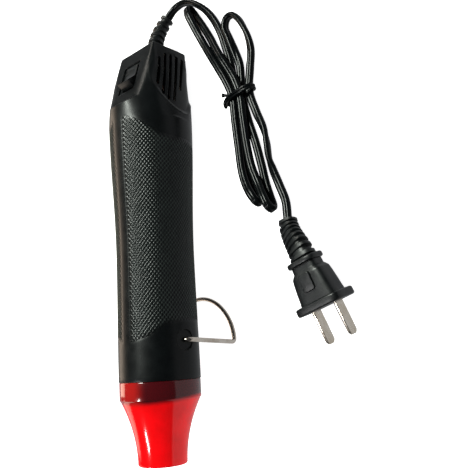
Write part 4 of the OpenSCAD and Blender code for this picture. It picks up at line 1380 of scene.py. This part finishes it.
    def rows(self) -> tuple[Array, Array, Array]:
        """The closed outline of a shell's wall, from the collar over the outside and back inside.

        Returns:
            For each row its s, the share of the skin's radius that it keeps, and an inset. Below 0
            the share says that the inset is the radius itself.
        """
        e, inner_s, inner_r = self.end_edge, self.tail_s - self.end_wall, self.collar_r - self.collar_wall
        a = np.linspace(0, np.pi / 2, 6)
        body = np.concatenate([np.arange(0.35, 17, 2.0), np.arange(17, 138, 0.8), np.arange(138, 141, 0.5),
                               np.arange(141, 147, 0.2), np.arange(147, self.tail_s - e, 0.5)])
        parts = [
            (np.linspace(self.collar_s, 0.0, 5), np.full(5, -1.0), np.full(5, self.collar_r)),
            (np.array([0.0, 0.1]), np.ones(2), np.array([0.35, 0.1])),
            (body, np.ones(len(body)), np.zeros(len(body))),
            (self.tail_s - e + e * np.sin(a), np.ones(6), e * (1 - np.cos(a))),
            (np.full(9, self.tail_s), np.linspace(0.9, 0, 9), np.zeros(9)),
            (np.full(5, inner_s), np.linspace(0, 0.8, 5), np.zeros(5)),
            (np.linspace(inner_s, 4.0, 40), np.ones(40), np.full(40, self.wall)),
            (np.linspace(4.0, self.collar_s, 5), np.full(5, -1.0), np.full(5, inner_r)),
        ]
        return tuple(np.concatenate(c)[:, None] for c in zip(*parts))

    def shell_mesh(self, gun: GunFrame, side: Side) -> Piece:
        """One shell as a closed solid: the wall's outline at each angle, and two caps on the split.

        Args:
            gun: the gun's frame.
            side: the half of the housing.

        Returns:
            The shell before its holes are cut.
        """
        s, share, inset = self.rows()
        theta = np.radians(np.linspace(0, 180, 133))[None, :]
        at = np.maximum(s, 0)
        inside = self.radius(at, theta) - inset
        r = np.where(inset > 1.5, inside, self.skin(side, at, theta) * share - inset)
        r = np.where(share < 0, inset, r)
        points = gun.place(s, side.value * r * np.sin(theta), r * np.cos(theta))
        rows, cols = r.shape
        index = np.arange(rows * cols).reshape(rows, cols)
        closed = np.vstack([index, index[:1]])
        quads = np.stack([closed[:-1, :-1], closed[1:, :-1], closed[1:, 1:], closed[:-1, 1:]], axis=-1)
        faces = [tuple(q) for q in quads.reshape(-1, 4).tolist()]
        faces += [tuple(index[:, 0].tolist()), tuple(index[::-1, -1].tolist())]
        return mesh_object(f"shell_{side.name.lower()}_skin", points * MM, faces, 32)

    def switch_frame(self, gun: GunFrame) -> tuple[Array, Array, Array]:
        """Where the switch sits on its flat.

        Args:
            gun: the gun's frame.

        Returns:
            The middle of the pocket on the flat, the way down the flat, and the way out of it.
        """
        down_slope, outward = gun.turned(self.top_deg)
        start = gun.place(self.top_s, 0, self.barrel(np.array(self.top_s)) - self.top_drop)
        return start + self.switch_at * down_slope, down_slope, outward

    def prism(self, outline: Array, low: float, high: float, origin: Array, axes: tuple) -> Piece:
        """A straight solid over an outline.

        Args:
            outline: points in the first two axes.
            low: where it starts along the third axis.
            high: where it ends along the third axis.
            origin: the outline's origin.
            axes: the three directions.

        Returns:
            The solid.
        """
        first, second, third = axes
        flat = origin + outline[:, :1] * first + outline[:, 1:] * second
        return closed_loft("cutter", np.stack([flat + low * third, flat + high * third]), 30)

    def capsule(self, length: float, width: float) -> Array:
        """Outline of a slot: two half circles and two straight sides.

        Args:
            length: distance between the middles of the half circles.
            width: the slot's width.

        Returns:
            Points of the outline.
        """
        a = np.linspace(-np.pi / 2, np.pi / 2, 9)
        right = np.stack([length / 2 + width / 2 * np.cos(a), width / 2 * np.sin(a)], axis=1)
        return np.vstack([right, -right])

    def round_rect(self, length: float, width: float, corner: float) -> Array:
        """Outline of a rectangle with quarter-circle corners.

        Args:
            length: its first side.
            width: its second side.
            corner: radius of the corners.

        Returns:
            Points of the outline.
        """
        quarter = np.arange(4)[:, None]
        b = np.linspace(0, np.pi / 2, 6) + quarter * np.pi / 2
        x = (length / 2 - corner) * np.array([[1], [-1], [-1], [1]]) + corner * np.cos(b)
        y = (width / 2 - corner) * np.array([[1], [1], [-1], [-1]]) + corner * np.sin(b)
        return np.stack([x.ravel(), y.ravel()], axis=1)

    def cutters(self, gun: GunFrame, side: Side) -> Piece:
        """All holes of one shell as one helper object of separate solids.

        Args:
            gun: the gun's frame.
            side: the half of the housing.

        Returns:
            The helper: slots, the pin's dish and hole, the boot's hole, the pocket and, on the far
            side, the screw recesses.
        """
        out = ACROSS * side.value
        sideways = (gun.along, gun.up, out)
        ring = np.stack(oval(48), axis=1)
        beyond = 30.0
        parts = []
        for s0, h0, s1, h1 in self.slots:
            length = np.hypot(s1 - s0, h1 - h0)
            c, n = (s1 - s0) / length, (h1 - h0) / length
            middle = gun.place((s0 + s1) / 2, 0, (h0 + h1) / 2)
            axes = (c * gun.along + n * gun.up, c * gun.up - n * gun.along, out)
            parts.append(self.prism(self.capsule(length, self.slot_w), 8, beyond, middle, axes))
        parts.append(self.prism(ring * self.dish_r, self.dish_y, beyond, gun.pivot, sideways))
        parts.append(self.prism(ring * self.pin_hole_r, 10, self.dish_y + 0.4, gun.pivot, sideways))
        entry = gun.place(self.tail_s, 0, self.entry_h)
        parts.append(self.prism(ring * self.boot_hole_r, -6, 4, entry, (ACROSS, gun.up, gun.along)))
        middle, down_slope, outward = self.switch_frame(gun)
        length, width, depth = self.pocket
        pocket = self.round_rect(length, width, 1.5)
        parts.append(self.prism(pocket, -depth - 3, 12, middle, (down_slope, ACROSS, outward)))
        if side is Side.FAR:
            places = [(s, sign * z, seat) for s, z, seat in self.screws for sign in (-1, 1)]
            parts += [self.prism(ring * self.screw_head_r, seat, beyond, gun.place(s, 0, z), sideways)
                      for s, z, seat in places]
        return join("cutters", parts)

    def grip_sheet(self, gun: GunFrame, side: Side) -> Piece:
        """Crossed ridges of the grip, as real relief on the shell.

        Formula: with u across and v along, ridges lie where u/w + v/l or u/w - v/l is whole. Each
        cell has grid lines at 0, 0.13 and 0.87, so a ridge stands at 0 and the pit lies between. The
        relief grows over the first 3.5 mm from the border, where the sheet dips under the skin.

        Args:
            gun: the gun's frame.
            side: the half of the housing.

        Returns:
            The sheet, with its ridge attribute.
        """
        wide, long = self.cell
        barrel_r, first_s = 21.2, 18.0
        spots = np.array([0.0, 0.13, 0.87])
        a = (np.arange(0, 84)[:, None] + spots).ravel()
        b = (np.arange(-52, 34)[:, None] + spots).ravel()
        ga, gb = np.meshgrid(a, b, indexing="ij")
        theta = wide * (ga + gb) / 2 / barrel_r
        s = first_s + long * (ga - gb) / 2
        inside = self.grip_depth(side, s, theta)
        mask = smoothstep(-0.7, 0.0, inside)
        relief = smoothstep(0.0, 3.5, inside)
        ridge = np.where((ga % 1 == 0) | (gb % 1 == 0), 1.0, 0.0)
        height = (self.ridge_lift * ridge - self.pit_depth * (1 - ridge)) * relief
        below, dip = self.sunk
        r = self.radius(s, theta) - below - dip * (1 - mask) + height
        points = gun.place(s, side.value * r * np.sin(theta), r * np.cos(theta))
        index = np.arange(ga.size).reshape(ga.shape)
        corners = np.stack([index[:-1, :-1], index[1:, :-1], index[1:, 1:], index[:-1, 1:]], axis=-1)
        seen = mask.ravel()[corners].max(axis=-1) > 0.001
        if side is Side.FAR:
            seen &= self.screw_gap(s, theta).ravel()[corners].min(axis=-1) >= 0.1
        # On the far side the corners run the other way, so that one turn brings both sides outwards
        quads = corners[seen] if side is Side.NEAR else corners[seen][:, ::-1]
        used = np.unique(quads)
        lookup = np.full(ga.size, -1)
        lookup[used] = np.arange(len(used))
        mesh = bpy.data.meshes.new(f"grip_{side.name.lower()}")
        mesh.from_pydata((points.reshape(-1, 3)[used] * MM).tolist(), [], lookup[quads].tolist())
        # The ridge attribute makes the ridges glossier and paints them lighter: a painted highlight
        polish_and_painted_highlight = mesh.attributes.new("ridge", "FLOAT", "POINT")
        polish_and_painted_highlight.data.foreach_set("value", (ridge * relief).ravel()[used].astype(np.float32))
        sheet = bpy.data.objects.new(mesh.name, mesh)
        bpy.context.scene.collection.objects.link(sheet)
        mesh.flip_normals()
        shade(sheet, 80)
        return sheet

    def build(self, gun: GunFrame, side: Side, skin: Paint, grip: Paint) -> Piece:
        """A shell with its holes cut and its grip laid on.

        Args:
            gun: the gun's frame.
            side: the half of the housing.
            skin: the material of the plain surface.
            grip: the material of the grip.

        Returns:
            The shell.
        """
        shell = self.shell_mesh(gun, side)
        cutter = self.cutters(gun, side)
        cut = shell.modifiers.new("holes", "BOOLEAN")
        cut.operation = "DIFFERENCE"
        cut.solver = "EXACT"
        cut.object = cutter
        apply_modifiers(shell)
        bpy.data.objects.remove(cutter, do_unlink=True)
        parts = [dress(shell, skin), dress(self.grip_sheet(gun, side), grip)]
        return join(f"housing_{side.name.lower()}", parts)


@dataclass
class RockerSwitch:
    """The rocker: a broad key with a hollow top and raised ends, tilted to its off side."""

    length: float = 13.4
    width: float = 9.2
    rise: float = 2.4
    tilt_deg: float = 15.0
    pivot_depth: float = 2.5
    edge: float = 0.4
    # Half-length and depth of the foot, and depth of the ends
    foot: tuple = (3.4, 2.4, 0.6)

    def build(self, gun: GunFrame, housing: Housing, finish: Paint) -> Piece:
        """Extrudes the key's side view, with its top a shallow arc, and rounds all edges.

        Args:
            gun: the gun's frame.
            housing: the shells, for the place of the pocket.
            finish: the rocker's material.

        Returns:
            The rocker.
        """
        half = self.length / 2
        raised = half * np.tan(np.radians(self.tilt_deg))
        x = np.linspace(half, -half, 15)
        top = np.stack([x, self.rise + raised * (np.abs(x) / half) ** 1.6], axis=1)
        half_foot, deep, shallow = self.foot
        under = np.array([[-half, -shallow], [-half_foot, -deep], [half_foot, -deep], [half, -shallow]])
        middle, _, outward = housing.switch_frame(gun)
        first, second = gun.turned(housing.top_deg + self.tilt_deg)
        key = housing.prism(np.vstack([top, under]), -self.width / 2, self.width / 2,
                            middle - self.pivot_depth * outward, (first, second, ACROSS))
        key.name = "rocker_key"
        work = bmesh.new()
        work.from_mesh(key.data)
        bmesh.ops.dissolve_limit(work, angle_limit=np.radians(2), verts=work.verts, edges=work.edges)
        work.to_mesh(key.data)
        work.free()
        bevel = key.modifiers.new("edges", "BEVEL")
        bevel.width = self.edge * MM
        bevel.segments = 3
        bevel.limit_method = "ANGLE"
        bevel.angle_limit = np.radians(40)
        apply_modifiers(key)
        shade(key, 40)
        return dress(key, finish)


# Studio


@dataclass
class Studio:
    """White floor and world, and small soft lamps that light black plastic from both sides."""

    floor_size: float = 4.0
    # Radiance of the floor where glossy surfaces mirror it, and the glow that keeps it white
    mirrored: float = 0.46
    glow: float = 0.92
    ambient: float = 0.34
    # Strength of the world where glossy surfaces mirror it
    mirrored_sky: float = 0.05
    lamps: tuple = (
        # name, place and target in metres, width and height, watts, colour
        ("overhead", (0.45, 0.13, 0.90), (0.02, 0.0, 0.03), (0.17, 0.42), 12.0, "#f8fff6"),
        ("far_card", (0.20, 1.05, 0.20), (0.0, 0.0, 0.05), (0.84, 0.60), 4.6, "#ffe8d0"),
        ("far_corner", (-0.62, 0.92, 0.20), (-0.05, 0.0, 0.04), (0.70, 0.50), 1.6, "#ffeedd"),
        ("tail_strip", (0.92, 0.34, 0.50), (0.09, 0.0, 0.04), (0.16, 0.30), 1.3, "#fff8ee"),
        ("small_softbox", (-0.42, 0.26, 0.90), (-0.08, 0.0, 0.03), (0.08, 0.22), 2.6, "#ffffff"),
    )

    def pick(self, tree: bpy.types.NodeTree, output: str, seen: tuple) -> None:
        """Gives camera rays, glossy rays and all others a shader each.

        Args:
            tree: the node tree of the floor or the world.
            output: the output node's type name.
            seen: what camera rays, glossy rays and the others meet, as output sockets.
        """
        camera, glossy, other = seen
        path = add(tree, "LightPath")
        bounce = add(tree, "MixShader", links={0: path.outputs["Is Glossy Ray"], 1: other, 2: glossy})
        first = add(tree, "MixShader",
                    links={0: path.outputs["Is Camera Ray"], 1: bounce.outputs[0], 2: camera})
        add(tree, output, links={"Surface": first.outputs[0]})

    def floor_paint(self) -> Paint:
        """Matt white card: the camera sees it glow a little, and glossy surfaces mirror it dimmer.

        Returns:
            The material.
        """
        material = bpy.data.materials.new("matt_white_card")
        material.use_nodes = True
        tree = material.node_tree
        tree.nodes.clear()
        matt = add(tree, "BsdfDiffuse", {"Color": linear("#f4f4f4")})
        glow = add(tree, "Emission", {"Color": linear("#ffffff"), "Strength": self.glow})
        grey = add(tree, "Emission", {"Color": linear("#f4f7fa"), "Strength": self.mirrored})
        lit = add(tree, "AddShader", links={0: matt.outputs[0], 1: glow.outputs[0]})
        self.pick(tree, "OutputMaterial", (lit.outputs[0], grey.outputs[0], matt.outputs[0]))
        return material

    def build_world(self) -> None:
        """A soft sky for matt light, a dim one in mirrors, and white where the camera looks."""
        world = bpy.data.worlds.new("studio")
        bpy.context.scene.world = world
        world.use_nodes = True
        tree = world.node_tree
        tree.nodes.clear()
        skies = (("#ffffff", 1.0), ("#eef3ff", self.mirrored_sky), ("#f7f9ff", self.ambient))
        self.pick(tree, "OutputWorld", tuple(
            add(tree, "Background", {"Color": linear(colour), "Strength": strength}).outputs[0]
            for colour, strength in skies
        ))

    def build(self) -> None:
        """Floor, world and lamps."""
        across = np.linspace(-self.floor_size / 2, self.floor_size / 2, 3)
        x, y = np.meshgrid(across, across, indexing="ij")
        points = np.stack([x, y, 0 * x - 0.0004], axis=-1)
        floor = mesh_object("floor", points, grid_faces(3, 3, Lay.OPEN), 35)
        dress(floor, self.floor_paint())
        self.build_world()
        for name, place, target, size, watts, colour in self.lamps:
            data = bpy.data.lights.new(name, "AREA")
            data.shape = "RECTANGLE"
            data.size, data.size_y = size
            data.energy = watts
            data.color = linear(colour)[:3]
            lamp = bpy.data.objects.new(name, data)
            lamp.location = place
            lamp.rotation_euler = (Vector(target) - Vector(place)).to_track_quat("-Z", "Y").to_euler()
            bpy.context.scene.collection.objects.link(lamp)


def dress_nodes(finishes: Finishes) -> None:
    """Gives every CAD node the finish of its slot.

    Args:
        finishes: the materials.
    """
    by_slot = finishes.by_slot()
    for entry in frame["record"]["subparts"]:
        node = frame["nodes"].get(entry["node"])
        if node is not None:
            dress(node, by_slot.get(entry["material_slot"], finishes.inner))


def settle(piece: Piece, body: str, slot: str, *nodes: str) -> Piece:
    """Rides a piece on its body, hides the CAD nodes that it stands for, and logs it.

    Args:
        piece: the finished piece.
        body: the body it moves with.
        slot: its material slot; not used.
        nodes: the CAD nodes that it replaces.

    Returns:
        The same piece.
    """
    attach(piece, body)
    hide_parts(*nodes)
    LOG.info("%s: %d faces, on %s, for %s", piece.name, len(piece.data.polygons), body, ", ".join(nodes))
    return piece


def main() -> None:
    """Builds the camera, the cord and its pieces, the gun and the studio."""
    logging.basicConfig(level=logging.INFO, format="%(message)s")
    StudioCamera().build()
    gun = GunFrame.from_joints(frame["joints"])
    finishes = Finishes()
    dress_nodes(finishes)

    housing, cord_maker, plug = Housing(), PowerCord(), Plug()
    cord, line = cord_maker.build(finishes.cord)
    settle(cord, "tool", "cord_pvc", "power_cord", "cord_hank", "cord_tail")
    on_cord = [
        settle(CordBoot().build(gun, housing, finishes.boot), "tool", "cord_pvc", "cord_boot"),
        settle(WireTie().build(finishes.cord), "tool", "cord_pvc", "cord_tie"),
        settle(plug.build_body(finishes.boot), "tool", "cord_pvc", "plug_body"),
        settle(plug.build_boot(finishes.boot), "tool", "cord_pvc", "plug_boot"),
        settle(plug.build_blades(finishes.blades), "tool", "nickel_wire", "plug_blades"),
    ]

    for side, node in ((Side.NEAR, "shell_near"), (Side.FAR, "shell_far")):
        shell = housing.build(gun, side, finishes.housing, finishes.grip)
        settle(shell, "tool", "housing_plastic", node)
    settle(NozzleGuard().build(gun), "tool", "red_guard", "nozzle_guard")
    settle(WireStand().build(gun, finishes.wire), "stand", "nickel_wire", "stand_wire")
    key = RockerSwitch().build(gun, housing, finishes.switch)
    settle(key, "rocker", "switch_plastic", "switch_rocker")

    Studio().build()
    bpy.context.scene.view_settings.view_transform = "Standard"


if __name__ == "__main__":
    main()
